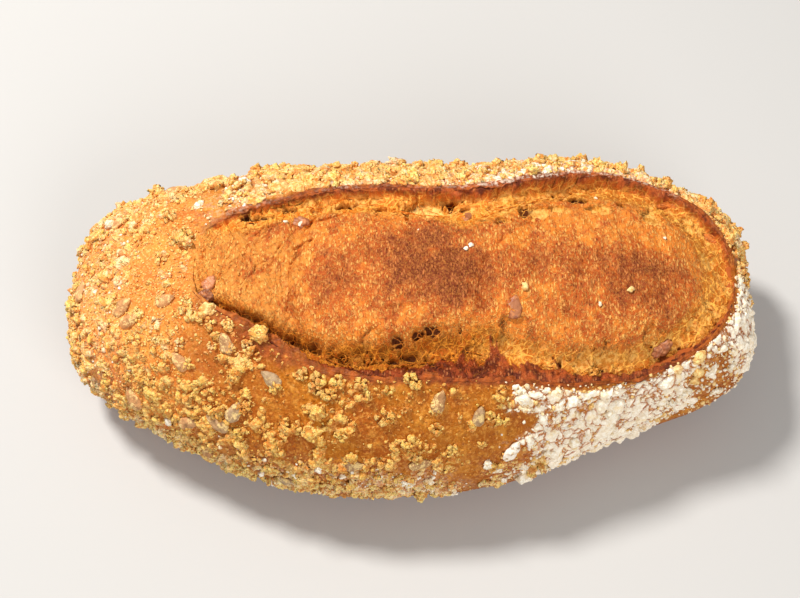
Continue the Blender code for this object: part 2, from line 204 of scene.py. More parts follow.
# The deep crack between the crumb and the smooth near left lip: (x, y) in mm
CRACK_LINE = (
    (-73, -9.5), (-68, -13), (-61, -15.8), (-54, -19.0), (-47, -22.6), (-40, -25.6), (-33, -28),
)
CRACK_DEPTH = 2.8
CRACK_HALF_WIDTH = 1.4
# Patches of crust that the meal left bare: (x, y, radius) in mm
BARE_PATCHES = (
    (-50, -43, 9), (22, -54, 12), (8, -50, 8), (-78, -24, 7), (45, -50, 6), (-93, 10, 9), (-88, 28, 7),
    (-100, -2, 5), (-70, 37, 5), (-77, 30, 5), (-62, 41, 4), (-38, 44, 3.5), (10, 44, 4), (33, 48, 4),
)
# Specks on the torn crumb: (turn, way in, radius in mm, whiteness)
SPECKS = (
    (0.224, 1.60, 0.9, 1.0), (0.247, 1.73, 0.8, 1.0), (0.383, 1.07, 0.9, 1.0), (0.390, 1.02, 0.7, 1.0),
    (0.883, 1.62, 1.3, 0.1), (0.957, 1.25, 1.2, 0.1), (0.508, 1.06, 1.2, 0.3), (0.92, 1.3, 0.7, 0.5),
    (0.05, 1.1, 0.6, 0.8), (0.13, 1.0, 0.6, 0.9), (0.30, 1.4, 0.5, 0.8),
)
BROWNED = ((-68, -33, 13, 0.55), (-54, -40, 9, 0.3), (-80, -26, 6, 0.3))  # (x, y, radius) in mm and share
# How far down the flour's coat reaches: (turn, way down)
FLOUR_LOWEST = (
    (0.50, 1.42), (0.85, 1.46), (0.870, 1.36), (0.886, 1.12), (0.903, 0.88), (0.918, 0.74), (0.930, 0.95),
    (0.950, 1.0), (0.975, 0.90), (1.0, 0.70), (1.5, 0.5),
)
# Patches that the flour left bare: (x, y, radius) in mm
FLOUR_GAPS = (
    (113, -29, 6.5), (107, -33, 5), (118, -25, 4.5), (97, -37.5, 3), (106, -24, 2),
)
MEAL_ENDS = (0.762, 1.03)  # the turns between which flour takes the place of meal
# The meal's coat, a sheet for each part of the loaf: (name, first turn, last turn, columns, rows)
COATS = (("meal_far_side", 0.03, 0.37, 470, 160), ("meal_left_end", 0.36, 0.62, 400, 180),
         ("meal_near_side", 0.61, 0.83, 360, 190))
COAT_DOWN = (0.010, 1.68)
DRAWN_AT_ONCE = 6000
CRUMBS_IN_CLUMP = 16
# How pale each floured lump or ball of meal is, and how brown each piece of nut
LUMP_TONES = (0.9, 0.95, 0.85, -0.2, 0.8, -0.3, -0.2, 0.0, 0.25)
NUT_TONES = (0.15, 0.85, 0.4, 0.45, 0.62)

FLOOR_TONE = (0.52, 0.51, 0.50)


def srgb(red, green, blue):
    """A colour as read on a screen, 0 to 255, made linear."""
    share = np.array([red, green, blue]) / 255
    linear = np.where(share <= 0.04045, share / 12.92, ((share + 0.055) / 1.055) ** 2.4)
    return (*linear, 1.0)


# ------------------------------------------------------------------ noise

CORNERS = [(x, y, z) for x in (0, 1) for y in (0, 1) for z in (0, 1)]
NEIGHBOURS = [(x, y, z) for x in (-1, 0, 1) for y in (-1, 0, 1) for z in (-1, 0, 1)]
GRADIENTS = np.array([step for step in NEIGHBOURS if sum(map(abs, step)) == 2], float)


def scramble(cell, seed):
    """A repeatable whole number for each cell: its indices times large primes, mixed by shifts."""
    x, y, z = (cell[..., axis].astype(np.uint32) for axis in range(3))
    mixed = x * np.uint32(374761393) + y * np.uint32(668265263) + z * np.uint32(2246822519)
    mixed = mixed + np.uint32(seed * 40503 + 17)
    mixed = (mixed ^ (mixed >> np.uint32(13))) * np.uint32(1274126177)
    mixed = (mixed ^ (mixed >> np.uint32(15))) * np.uint32(2654435761)
    return mixed ^ (mixed >> np.uint32(16))


def noise(points, size, seed=0):
    """Gradient noise from about -1 to 1: slopes drawn at whole cells, blended smoothly between them."""
    scaled = np.asarray(points) / size
    cell = np.floor(scaled).astype(np.int64)
    inside = scaled - cell
    blend = inside**3 * (inside * (inside * 6 - 15) + 10)
    total = np.zeros(scaled.shape[:-1])
    for corner in CORNERS:
        slope = GRADIENTS[scramble(cell + corner, seed) % len(GRADIENTS)]
        weight = np.prod(np.where(corner, blend, 1 - blend), axis=-1)
        total += weight * (slope * (inside - corner)).sum(-1)
    return total * 1.25


def layered(points, size, layers, seed=0):
    """Noise with finer noise on it, each layer half as large and half as strong."""
    return sum(noise(points, size / 2**k, seed + k) / 2**k for k in range(layers))


def added_noise(points, layers):
    """Noise of several sizes added up: (strength, size in mm, seed)."""
    return sum(strength * noise(points, size * MM, seed) for strength, size, seed in layers)


def cells(points, size, seed=0):
    """Points scattered one to a cell: the distances to the nearest and the next, in cell sizes, and a
    whole number drawn for the nearest."""
    scaled = np.asarray(points) / size
    cell = np.floor(scaled).astype(np.int64)
    near = np.full(scaled.shape[:-1], 9.0)
    nearer = near.copy()
    owner = np.zeros(scaled.shape[:-1], np.uint32)
    for step in NEIGHBOURS:
        there = cell + step
        drawn = scramble(there, seed)
        shifted = [(drawn >> np.uint32(shift)) & np.uint32(1023) for shift in (0, 10, 20)]
        offset = np.stack(shifted, -1) / 1023
        distance = np.linalg.norm(there + offset - scaled, axis=-1)
        near = np.minimum(near, np.maximum(nearer, distance))
        owner = np.where(distance < nearer, drawn, owner)
        nearer = np.minimum(nearer, distance)
    return nearer, near, owner


def draws(owner, count):
    """Numbers from 0 to 1 that belong to each cell."""
    mixed = owner * np.uint32(2654435761)
    return [((mixed >> np.uint32(8 * k)) & np.uint32(255)) / 255 for k in range(count)]


def warped(points, size, strength, seed):
    """Points pushed about by noise, so that what is read there has crooked outlines."""
    return points + strength * np.stack([noise(points, size, seed + k) for k in range(3)], -1)


def smooth(low, high, value):
    """0 below low and 1 above high, with a smooth step between."""
    share = np.clip((value - low) / (high - low), 0, 1)
    return share * share * (3 - 2 * share)


def bell(value, middle, width):
    """1 in the middle, and less on both sides: exp(-((value - middle) / width)**2)."""
    return np.exp(-(((value - middle) / width) ** 2))


# ------------------------------------------------------------------ the loaf's shape


def closed_curve(points, turn):
    """A smooth closed curve through the points (Catmull-Rom), read at each turn from 0 to 1."""
    points = np.asarray(points, float)
    count = len(points)
    along = (np.asarray(turn, float) % 1.0) * count
    start = np.floor(along).astype(int) % count
    f = (along - np.floor(along))[..., None] if points.ndim > 1 else along - np.floor(along)
    before, here, there, after = (points[(start + k) % count] for k in (-1, 0, 1, 2))
    return 0.5 * (
        2 * here
        + (there - before) * f
        + (2 * before - 5 * here + 4 * there - after) * f**2
        + (3 * here - before - 3 * there + after) * f**3
    )


def in_metres(shares):
    return np.asarray(shares) * (LENGTH / 2, WIDTH / 2)


def in_mm(place):
    """A place as seen from above: its x and y in mm."""
    return place[..., 0] / MM, place[..., 1] / MM


def from_left(turn):
    """The turn counted on from the loaf's left end, 0.5 to 1.5."""
    return (turn - 0.5) % 1.0 + 0.5


def waist(turn):
    return in_metres(closed_curve(WAIST, turn))


def slash(turn):
    return in_metres(closed_curve(SLASH, turn))


def slash_outward(turn):
    """The level direction in which the slash's edge faces, away from the opening."""
    step = 0.004
    along = slash(turn + step) - slash(turn - step)
    across = np.stack([along[..., 1], -along[..., 0]], -1)
    return across / np.linalg.norm(across, axis=-1, keepdims=True)


def edge_sizes(turn):
    """Lip rise, wall drop, valley depth, valley place and undercut at a turn."""
    return np.moveaxis(closed_curve(EDGE, turn) * MM, -1, 0)


def waves(x, y):
    total = np.zeros(np.shape(x))
    for length_x, length_y, phase, height in WAVES:
        total += height * np.sin(x / length_x * math.tau + phase) * np.cos(y / length_y * math.tau + phase)
    return total


def dome(plan):
    """Height of the whole dome over a point seen from above: 1 - share**power, under a square root."""
    outline = waist(np.linspace(0, 1, 721)) - in_metres(LOAF_CENTRE)
    angle = np.unwrap(np.arctan2(outline[:, 1], outline[:, 0]))
    radius = np.linalg.norm(outline, axis=1)
    from_centre = plan - in_metres(LOAF_CENTRE)
    here = angle[0] + (np.arctan2(from_centre[..., 1], from_centre[..., 0]) - angle[0]) % math.tau
    share = np.linalg.norm(from_centre, axis=-1) / np.interp(here, angle, radius)
    power = DOME_POWER_SIDES + (DOME_POWER_ENDS - DOME_POWER_SIDES) * np.cos(here) ** 2
    rise = np.sqrt(np.clip(1 - share**power, 0, 1))
    return WAIST_HEIGHT + (CRUST_HEIGHT - WAIST_HEIGHT + waves(plan[..., 0], plan[..., 1])) * rise


def with_height(plan, height):
    return np.concatenate([plan, height[..., None]], -1)


def lip_wobble(turn):
    """How far the ragged lip strays outwards and upwards: noise read along the slash's edge."""
    along = with_height(slash(turn), np.zeros(np.shape(turn)))
    out = MM * added_noise(along, ((0.9, 11, 3), (0.55, 4, 4), (0.25, 1.7, 5)))
    up = MM * added_noise(along, ((0.7, 14, 6), (0.45, 5, 7), (0.2, 2, 8)))
    return out, up


def crust_point(turn, down, ragged=True):
    """A point of the crust. down is 0 at the slash's lip, 1 at the waist and 2 at the base's edge."""
    turn, down = np.broadcast_arrays(np.asarray(turn, float), np.asarray(down, float))
    edge, outer = slash(turn), waist(turn)
    out = np.sin(np.clip(down, 0, 1) * math.pi / 2)[..., None]
    plan = edge + (outer - edge) * out
    from_lip = np.linalg.norm(plan - edge, axis=-1)
    height = dome(plan) + edge_sizes(turn)[0] * bell(from_lip, 0, LIP_WIDTH)
    if ragged:
        aside, up = lip_wobble(turn)
        fade = np.exp(-from_lip / (3.5 * MM))
        plan = plan + slash_outward(turn) * (aside * fade)[..., None]
        height = height + up * fade
    below = WAIST_HEIGHT * np.clip(down - 1, 0, 1)
    share = (1 - (below / BASE_DEPTH) ** 2) ** (1 / UNDERSIDE_POWER)
    centre = in_metres(LOAF_CENTRE)
    lower = centre + (outer - centre) * share[..., None]
    under = down > 1
    plan = np.where(under[..., None], lower, plan)
    height = np.where(under, WAIST_HEIGHT - below, height)
    return with_height(plan, height)


def facing(surface, turn, across, step=0.0015):
    """Outward directions of a surface function: the cross product of its two slopes."""
    along = surface(turn + step, across) - surface(turn - step, across)
    down = surface(turn, across + step) - surface(turn, across - step)
    outward = np.cross(down, along)
    outward /= np.linalg.norm(outward, axis=-1, keepdims=True) + 1e-12
    middle = surface(turn, across) - (0, 0, WAIST_HEIGHT)
    return np.where((outward * middle).sum(-1)[..., None] < 0, -outward, outward)


def even_crust(turn, down):
    return crust_point(turn, down, ragged=False)


def crust_skin(turn, down):
    """The crust with its relief, and its outward directions: broad dents, wrinkles and fine blisters
    are pushed out along the normals."""
    turn, down = np.broadcast_arrays(np.asarray(turn, float), np.asarray(down, float))
    place = crust_point(turn, down)
    outward = facing(even_crust, turn, np.clip(down, 0.002, 1.998))
    rough = (
        0.50 * layered(place, 15 * MM, 2, 20)
        + 0.26 * layered(place, 4.5 * MM, 2, 30)
        + 0.12 * noise(place, 1.6 * MM, 40)
    ) * MM
    rough = rough * smooth(2.0, 1.85, down)
    return place + outward * rough[..., None], outward


def fold_steps(plan):
    """The folds between the pillows of crumb: their depth, and how near a point is to a seam. Each falls
    away steeply on the left of its line and runs out slowly from there: depth * exp(-distance / width)."""
    x, y = in_mm(plan)
    flat = with_height(plan, 0 * x)
    bend = added_noise(flat, ((1.6, 9, 50), (0.6, 2.5, 51)))
    total, seam = np.zeros(x.shape), np.zeros(x.shape)
    folds = ((FOLD_LINE, 2.2, 6.5, -32, 36), (CREASE_LINE, 1.3, 5.0, -26, 16))
    for line, depth, width, nearest, farthest in folds:
        across = x - np.interp(y, *np.array(line, float).T) + bend
        step = np.where(across < 0, np.exp(across / width), bell(across, 0, 1.1))
        fade = smooth(nearest, nearest + 8, y) * smooth(farthest + 2, farthest - 8, y)
        total += depth * step * fade
        groove = bell(across, -0.3, 0.5) * fade * smooth(-0.45, 0.55, noise(flat, 8 * MM, 52))
        seam = np.maximum(seam, groove)
    return total * MM, seam


def lip_form(turn):
    """The lip's roundness, the skin's reach inwards, its dark border outwards, and its darkness."""
    form = closed_curve(LIP_FORM, turn)
    return form[..., 0] * MM, form[..., 1] * MM, form[..., 2] * MM, np.clip(form[..., 3], 0, 1)


def from_line(plan, line):
    """Distance in mm from a line through the given points, seen from above."""
    ends = np.array(line, float)
    x, y = in_mm(plan)
    least = np.full(x.shape, 1e3)
    for (start_x, start_y), (end_x, end_y) in zip(ends[:-1], ends[1:]):
        run_x, run_y = end_x - start_x, end_y - start_y
        share = np.clip(((x - start_x) * run_x + (y - start_y) * run_y) / (run_x**2 + run_y**2), 0, 1)
        least = np.minimum(least, np.hypot(x - start_x - share * run_x, y - start_y - share * run_y))
    return least


def skin_reach(turn):
    """How far the browned skin of the lip runs in over the crumb, with its torn spikes."""
    along = with_height(slash(turn), np.zeros(np.shape(turn)))
    ragged = added_noise(along, ((0.45, 7, 60), (0.45, 2.2, 61), (0.25, 1.0, 62)))
    reach = lip_form(turn)[1] * (1 + ragged)
    for where, length, half_width in SKIN_SPIKES:
        lean = 0.3 * half_width * noise(along, 3 * MM, 63)
        reach = reach + length * np.clip(1 - np.abs(turn + lean - where) / half_width, 0, 1) ** 1.3
    return reach


def torn_frame(turn, out):
    """Where a point of the torn crumb lies from above, and its distance from the slash's edge.
    out is 0 in the slash's middle, 1 at its edge, and past 1 where the crumb runs on under the lip."""
    undercut = edge_sizes(turn)[4]
    edge = slash(turn) + slash_outward(turn) * undercut[..., None]
    reach = in_metres(SLASH_CENTRE) - edge
    radius = np.linalg.norm(reach, axis=-1)
    distance = radius * (1 - out)
    return edge + reach * (distance / radius)[..., None], distance, radius


def torn_height(turn, plan, distance, radius, skin=0.0):
    """The torn crumb's smooth height: the dome, raised to a mound in the middle, with a valley along the
    lip and a wall up to it. Where skin covers it, it slopes evenly up to the lip instead."""
    rise, drop, depth, place, _ = edge_sizes(turn)
    left, far = smooth(0, -40, plan[..., 0] / MM), smooth(0, 20, plan[..., 1] / MM)
    depth = depth * (1 - (0.45 + 0.4 * left) * far)
    drop = drop * (1 - 0.45 * left * far)
    wall = smooth(WALL_WIDTH, 0, distance)
    whole = dome(plan)
    valley = depth * bell(distance, place, VALLEY_WIDTH)
    crumb = whole + MOUND_RISE * (1 - (1 - distance / radius) ** 2) ** 2 + (rise - drop) * wall - valley
    crumb = crumb - fold_steps(plan)[0] * (1 - wall)
    slope = whole + rise * smooth(9 * MM, -1 * MM, distance) - 0.9 * valley * smooth(0, 6 * MM, distance)
    return crumb + (np.maximum(slope, crumb) - crumb) * skin


def way_to_out(turn, inward):
    """The share of the way out for a way in: 0 under the lip, 1 at the mound's foot, 2 in its middle."""
    _, _, radius = torn_frame(turn, np.ones(np.shape(turn)))
    distance = SHOULDER * np.clip(inward, 0, 1) + (radius - SHOULDER) * np.clip(inward - 1, 0, 1)
    return 1 - distance / radius


def torn_point(turn, inward):
    turn, inward = np.broadcast_arrays(np.asarray(turn, float), np.asarray(inward, float))
    plan, distance, radius = torn_frame(turn, way_to_out(turn, inward))
    return with_height(plan, torn_height(turn, plan, distance, radius))


# ------------------------------------------------------------------ making meshes


def mesh_of(name, points, faces, readings=None, smooth_shaded=True):
    """A piece from its points and faces; readings are values kept at each point for its material."""
    mesh = bpy.data.meshes.new(name)
    faces = np.asarray(faces)
    mesh.vertices.add(len(points))
    mesh.vertices.foreach_set("co", np.ascontiguousarray(points, np.float32).ravel())
    mesh.loops.add(faces.size)
    mesh.loops.foreach_set("vertex_index", faces.astype(np.int32).ravel())
    mesh.polygons.add(len(faces))
    mesh.polygons.foreach_set("loop_start", np.arange(0, faces.size, faces.shape[1], dtype=np.int32))
    mesh.update(calc_edges=True)
    for title, values in (readings or {}).items():
        kept = mesh.attributes.new(title, "FLOAT", "POINT")
        kept.data.foreach_set("value", np.ascontiguousarray(values, np.float32).ravel())
    mesh.validate()
    if smooth_shaded:
        mesh.shade_smooth()
    piece = bpy.data.objects.new(name, mesh)
    bpy.context.scene.collection.objects.link(piece)
    return piece


def two_triangles(a, b, c, d):
    """Squares between four points, each as two triangles."""
    return np.stack([np.stack([a, b, c], -1), np.stack([a, c, d], -1)]).reshape(-1, 3)


def ring_faces(rings, count):
    """Triangles between rings of points that close on themselves, and fans to two poles after them."""
    ring, column = np.meshgrid(np.arange(rings - 1), np.arange(count), indexing="ij")
    following = (column + 1) % count
    a, b = ring * count + column, ring * count + following
    c, d = (ring + 1) * count + following, (ring + 1) * count + column
    quads = two_triangles(a, b, c, d)
    column = np.arange(count)
    following = (column + 1) % count
    low, high, last = rings * count, rings * count + 1, (rings - 1) * count
    first_fan = np.stack([np.full(count, low), following, column], -1)
    last_fan = np.stack([last + column, last + following, np.full(count, high)], -1)
    return np.concatenate([quads, first_fan, last_fan])


def sheet_faces(rows, columns):
    """Triangles of an open grid of points."""
    row, column = np.meshgrid(np.arange(rows - 1), np.arange(columns - 1), indexing="ij")
    a = row * columns + column
    return two_triangles(a, a + 1, a + columns + 1, a + columns)


def rim_of_sheet(rows, columns):
    """The points round an open grid, in order."""
    grid = np.arange(rows * columns).reshape(rows, columns)
    return np.concatenate([grid[0, :-1], grid[:-1, -1], grid[-1, :0:-1], grid[:0:-1, 0]])


def ball(times):
    """A ball of radius 1 with 20 faces, each split in four the given number of times."""
    g = (1 + math.sqrt(5)) / 2
    points = [
        (-1, g, 0), (1, g, 0), (-1, -g, 0), (1, -g, 0), (0, -1, g), (0, 1, g), (0, -1, -g), (0, 1, -g),
        (g, 0, -1), (g, 0, 1), (-g, 0, -1), (-g, 0, 1),
    ]
    faces = [
        (0, 11, 5), (0, 5, 1), (0, 1, 7), (0, 7, 10), (0, 10, 11), (1, 5, 9), (5, 11, 4), (11, 10, 2),
        (10, 7, 6), (7, 1, 8), (3, 9, 4), (3, 4, 2), (3, 2, 6), (3, 6, 8), (3, 8, 9), (4, 9, 5),
        (2, 4, 11), (6, 2, 10), (8, 6, 7), (9, 8, 1),
    ]
    points = np.array(points, float)
    faces = np.array(faces)
    for _ in range(times):
        edges = np.sort(np.concatenate([faces[:, [0, 1]], faces[:, [1, 2]], faces[:, [2, 0]]]), axis=1)
        pairs, index = np.unique(edges, axis=0, return_inverse=True)
        a, b, c = (len(points) + index.reshape(-1)).reshape(3, -1)
        points = np.concatenate([points, points[pairs].mean(1)])
        x, y, z = faces.T
        faces = np.concatenate([np.stack(f, -1) for f in ((x, a, c), (y, b, a), (z, c, b), (a, b, c))])
    return points / np.linalg.norm(points, axis=1, keepdims=True), faces


def copied_faces(faces, count, points_each):
    """The faces of many copies of a shape, whose points follow one another."""
    return (faces[None] + (np.arange(count) * points_each)[:, None, None]).reshape(-1, 3)


def local_axes(outward, heading):
    """Three directions at each place: a heading from +X in the surface, across it, and outward."""
    along = np.array([1.0, 0, 0]) - outward * outward[..., :1]
    along /= np.linalg.norm(along, axis=-1, keepdims=True)
    across = np.cross(outward, along)
    cos, sin = np.cos(heading)[..., None], np.sin(heading)[..., None]
    return along * cos + across * sin, across * cos - along * sin, outward


def scattered(name, places, axes, sizes, times, rough, readings, seed, crisp=True):
    """Many balls in one mesh: each is stretched to its size, turned to its axes, and made lumpy by
    noise read at where its points lie."""
    template, faces = ball(times)
    along, across, outward = axes
    shaped = (
        along[:, None] * (template[None, :, :1] * sizes[:, None, :1])
        + across[:, None] * (template[None, :, 1:2] * sizes[:, None, 1:2])
        + outward[:, None] * (template[None, :, 2:3] * sizes[:, None, 2:3])
    )
    lump = rough(places[:, None] + shaped, seed)
    points = places[:, None] + shaped * lump[..., None]
    joined = copied_faces(faces, len(places), len(template))
    spread = {title: np.repeat(values, len(template)) for title, values in readings.items()}
    return mesh_of(name, points.reshape(-1, 3), joined, spread, smooth_shaded=not crisp)


def finished(piece, material):
    """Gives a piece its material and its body."""
    piece.data.materials.clear()
    piece.data.materials.append(material)
    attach(piece, BODY)
    return piece


# ------------------------------------------------------------------ crust and crumb


def meal_share(turn, down, place):
    """How thickly meal lies: all over the left end and the far side, in drifts on the near side,
    and little where the flour is or where patches stayed bare."""
    x, y = in_mm(place)
    left, far = smooth(-60, -98, x), smooth(18, 34, y) * smooth(1.15, 0.75, down)
    low = smooth(0.45, 0.85, down) * smooth(0, -20, y)
    corner = left * smooth(0.2, 0.6, down)
    thick = far * smooth(-92, -40, x)
    drift = layered(place, 12 * MM, 3, 70)
    drift = drift + 0.14 * left + 0.15 * corner + 0.12 * far + 0.34 * thick + 0.16 * low
    share = (0.54 + 0.02 * corner + 0.28 * thick + 0.14 * low) * smooth(-0.32, 0.16, drift)
    uneven = from_left(turn + 0.02 * noise(place, 12 * MM, 76))
    first, last = MEAL_ENDS
    share = share * (1 - smooth(first, first + 0.055, uneven) * smooth(last, last - 0.05, uneven))
    for patch_x, patch_y, radius in BARE_PATCHES:
        share = share * (1 - 0.85 * smooth(1.25, 0.6, np.hypot(x - patch_x, y - patch_y) / radius))
    crooked = 1 + 0.4 * noise(place, 4 * MM, 77)
    for kernel_turn, kernel_down, _ in KERNELS:
        away = np.linalg.norm(place - even_crust(kernel_turn, kernel_down), axis=-1) / MM * crooked
        share = share * (1 - 0.9 * smooth(4.6, 3.0, away))
    from_lip = np.linalg.norm(place[..., :2] - slash(turn), axis=-1) * (1 + 0.35 * noise(place, 5 * MM, 75))
    _, _, border, darkness = lip_form(turn)
    share = share * (1 - darkness * smooth(1.35, 0.8, from_lip / border))
    lowest = 1.47 + 0.14 * noise(place, 17 * MM, 72) + 0.10 * noise(place, 6 * MM, 73)
    return share * smooth(lowest + 0.10, lowest - 0.12, down)


def flour_share(turn, down, place):
    """How thickly flour lies: a cracked coat on the near right side, and dust along the far lip and low
    on the near side."""
    x, y = in_mm(place)
    around = from_left(turn)
    uneven = around + 0.016 * noise(place, 13 * MM, 85) + 0.008 * noise(place, 5 * MM, 86) + 0.01 * down
    coat = smooth(0.800, 0.826, uneven) * smooth(1.03, 0.985, uneven)
    lowest = np.interp(around, *np.array(FLOUR_LOWEST).T) + 0.18 * noise(place, 11 * MM, 87)
    coat = coat * smooth(lowest + 0.10, lowest - 0.12, down)
    from_lip = np.linalg.norm(place[..., :2] - slash(turn), axis=-1) / MM
    coat = coat * smooth(1.3, 3.2, from_lip * (1 + 0.4 * noise(place, 5 * MM, 88)))
    for gap_x, gap_y, radius in FLOUR_GAPS:
        away = np.hypot(x - gap_x, y - gap_y) / radius * (1 + 0.4 * noise(place, 4 * MM, 89))
        coat = coat * (1 - 0.74 * smooth(1.3, 0.8, away))
    far = 0.32 * bell(x, -62, 15) + 0.35 * bell(x, -22, 9) + 1.1 * bell(x, 55, 38)
    far = far * smooth(12, 28, y) * smooth(0.85, 0.1, down)
    left = 0.2 * bell(x, -118, 12)
    low = 0.42 * bell(x, -8, 50) * smooth(-20, -40, y) * smooth(0.62, 0.95, down) * smooth(1.5, 1.15, down)
    drift = layered(place, 14 * MM, 3, 80)
    return np.clip(coat * (0.95 + 0.5 * drift) + (far + low) * (0.9 + 0.9 * drift) + left, 0, 1)


def browned_share(place):
    """How much browner the crust is in a few spots on the near side."""
    share = np.zeros(place.shape[:-1])
    for x, y, radius, depth in BROWNED:
        away = np.hypot(place[..., 0] / MM - x, place[..., 1] / MM - y) / radius
        share = share + depth * bell(away * (1 + 0.3 * noise(place, 9 * MM, 79)), 0, 1)
    return np.clip(share, 0, 0.8)


def make_crust():
    """Rings from the base's middle up the outside, over the rolled lip, and down its inner wall."""
    turn = np.arange(CRUST_COLUMNS) / CRUST_COLUMNS
    centre = np.append(in_metres(LOAF_CENTRE), 0.0)
    base_edge, _ = crust_skin(turn, 2.0)
    base_edge[:, 2] = 0.0
    rings = [centre + (base_edge - centre) * share for share in (0.3, 0.6, 0.85, 0.96)] + [base_edge]
    downs = [2.0] * len(rings)
    for down in np.concatenate([np.linspace(1.97, 1.05, 15), np.linspace(1.0, 0.0, CRUST_ROWS)]):
        rings.append(crust_skin(turn, down)[0])
        downs.append(down)
    lip = rings[-1]
    outward = with_height(slash_outward(turn), np.zeros(CRUST_COLUMNS))
    roundness, _, border, darkness = lip_form(turn)
    for angle in np.radians((25, 50, 80, 110, 140)):
        sunk = with_height(np.zeros((CRUST_COLUMNS, 2)), roundness * (1 - math.cos(angle)))
        rings.append(lip - outward * (roundness * math.sin(angle))[:, None] - sunk)
        downs.append(-0.02)
    for drop, aside in ((3.0, 0.2), (5.0, 0.9), (9.0, 1.5), (14.0, 1.0)):
        rings.append(lip + outward * (aside * MM - 0.4 * roundness)[:, None] - (0, 0, drop * MM))
        downs.append(-0.1)
    points = np.stack(rings)
    down = np.array(downs)[:, None] + 0 * turn
    turns = turn + 0 * down
    from_lip = np.linalg.norm(points - lip, axis=-1) * (1 + 0.4 * noise(points, 4 * MM, 62))
    readings = {
        "flour": flour_share(turns, down, points),
        "rim": np.where(down < 0, 1.0, smooth(1.5, 0.6, from_lip / border)) * darkness,
        "under": smooth(1.1, 1.8, down),
        "browned": browned_share(points),
    }
    throat = np.append(in_metres(SLASH_CENTRE), THROAT_HEIGHT)
    poles = {title: np.append(values.ravel() + 0.0, (0.0, 0.0)) for title, values in readings.items()}
    points = np.concatenate([points.reshape(-1, 3), [centre], [throat]])
    return mesh_of("crust", points, ring_faces(len(rings), CRUST_COLUMNS), poles)


def pockets(points, size, seed, wall=0.16):
    """Open cells and the thin walls between them: how deep a point lies in its cell, from 0 on a wall,
    with each cell's own depth, and the ragged hole in the bottom of a few of them."""
    nearest, near, owner = cells(points, size, seed)
    deep, chance = draws(owner, 2)
    torn = smooth(0.34, 0.18, nearest * (1 + 0.5 * noise(points, 1.4 * MM, seed + 40))) * (chance < 0.45)
    return smooth(0.02, wall, near - nearest) * (0.15 + 0.85 * deep), torn


def valleys(flat, distance, turn, far):
    """How much of a valley there is, from 0 on the mound to 1, and how open the crumb is in it."""
    deepest = edge_sizes(turn)[3]
    spread = (6 + 3.2 * far * smooth(95, 70, flat[..., 0] / MM)) * MM
    valley = bell(np.maximum(distance - deepest, 0.4 * (deepest - distance)), 0, spread)
    valley = valley * (1 - 0.85 * smooth(0.10, 0.05, np.abs(turn - JOINED_AT)))
    valley = np.clip(valley * (1 + added_noise(flat, ((0.5, 12, 113), (0.35, 5, 114)))), 0, 1)
    return valley, valley * smooth(-0.35, 0.10, layered(flat, 15 * MM, 2, 101))


def open_cells(flat, loose, valley, openness, far):
    """Cells of four sizes: how many mm they sink the crumb, how hollow it is, and where holes go on
    down from their bottoms, which are also painted dark as shade."""
    wide, wide_hole = pockets(loose, 5.0 * MM, 102)
    narrow, narrow_hole = pockets(loose, 2.6 * MM, 103, 0.2)
    broad, broad_hole = pockets(warped(flat, 8 * MM, 3 * MM, 116) * (0.8, 1.0, 1.0), 7.5 * MM, 115, 0.2)
    tiny, _ = pockets(loose, 1.3 * MM, 106, 0.3)
    pocket = openness * (wide * (1 - far) + np.maximum(broad, 0.6 * wide) * far)
    small = (0.06 + 0.94 * valley) * narrow * (1 - 0.5 * far)
    near = smooth(0, -16, flat[..., 1] / MM)
    sunk = (1.0 + 0.9 * near + 1.1 * far) * pocket + 0.55 * small
    sunk = sunk + 0.28 * (0.2 + 0.8 * valley) * tiny * (1 - 0.6 * far)
    hollow = np.clip(0.8 * pocket + 0.45 * small + 0.15 * tiny * valley, 0, 1)
    shaded_hole = np.maximum(wide_hole * (1 - far), broad_hole * far) * smooth(0.45, 0.7, openness)
    shaded_hole = np.maximum(shaded_hole, 0.8 * narrow_hole * smooth(0.4, 0.75, openness) * (1 - 0.5 * far))
    return sunk + 1.6 * shaded_hole, hollow, shaded_hole


def creased(relief, plan, flat):
    """The relief with grooves along the folds' seams and the small creases, and how near they are; that
    nearness is painted dark as shade in the grooves.
    """
    _, seam = fold_steps(plan)
    bend = added_noise(flat, ((1.3, 5, 108), (0.5, 1.8, 119)))
    with_bend = plan + MM * np.stack([bend, 0 * bend], -1)
    for line, depth, half_width in CREASES:
        away = from_line(with_bend, line)
        groove = bell(away, 0, half_width) * smooth(-0.8, 0.1, noise(flat, 5 * MM, 109))
        relief = relief - 0.9 * depth * groove + 0.4 * depth * bell(away, 1.2, 1.0)
        seam = np.maximum(seam, 0.28 * groove)
    return relief - 0.9 * seam, seam


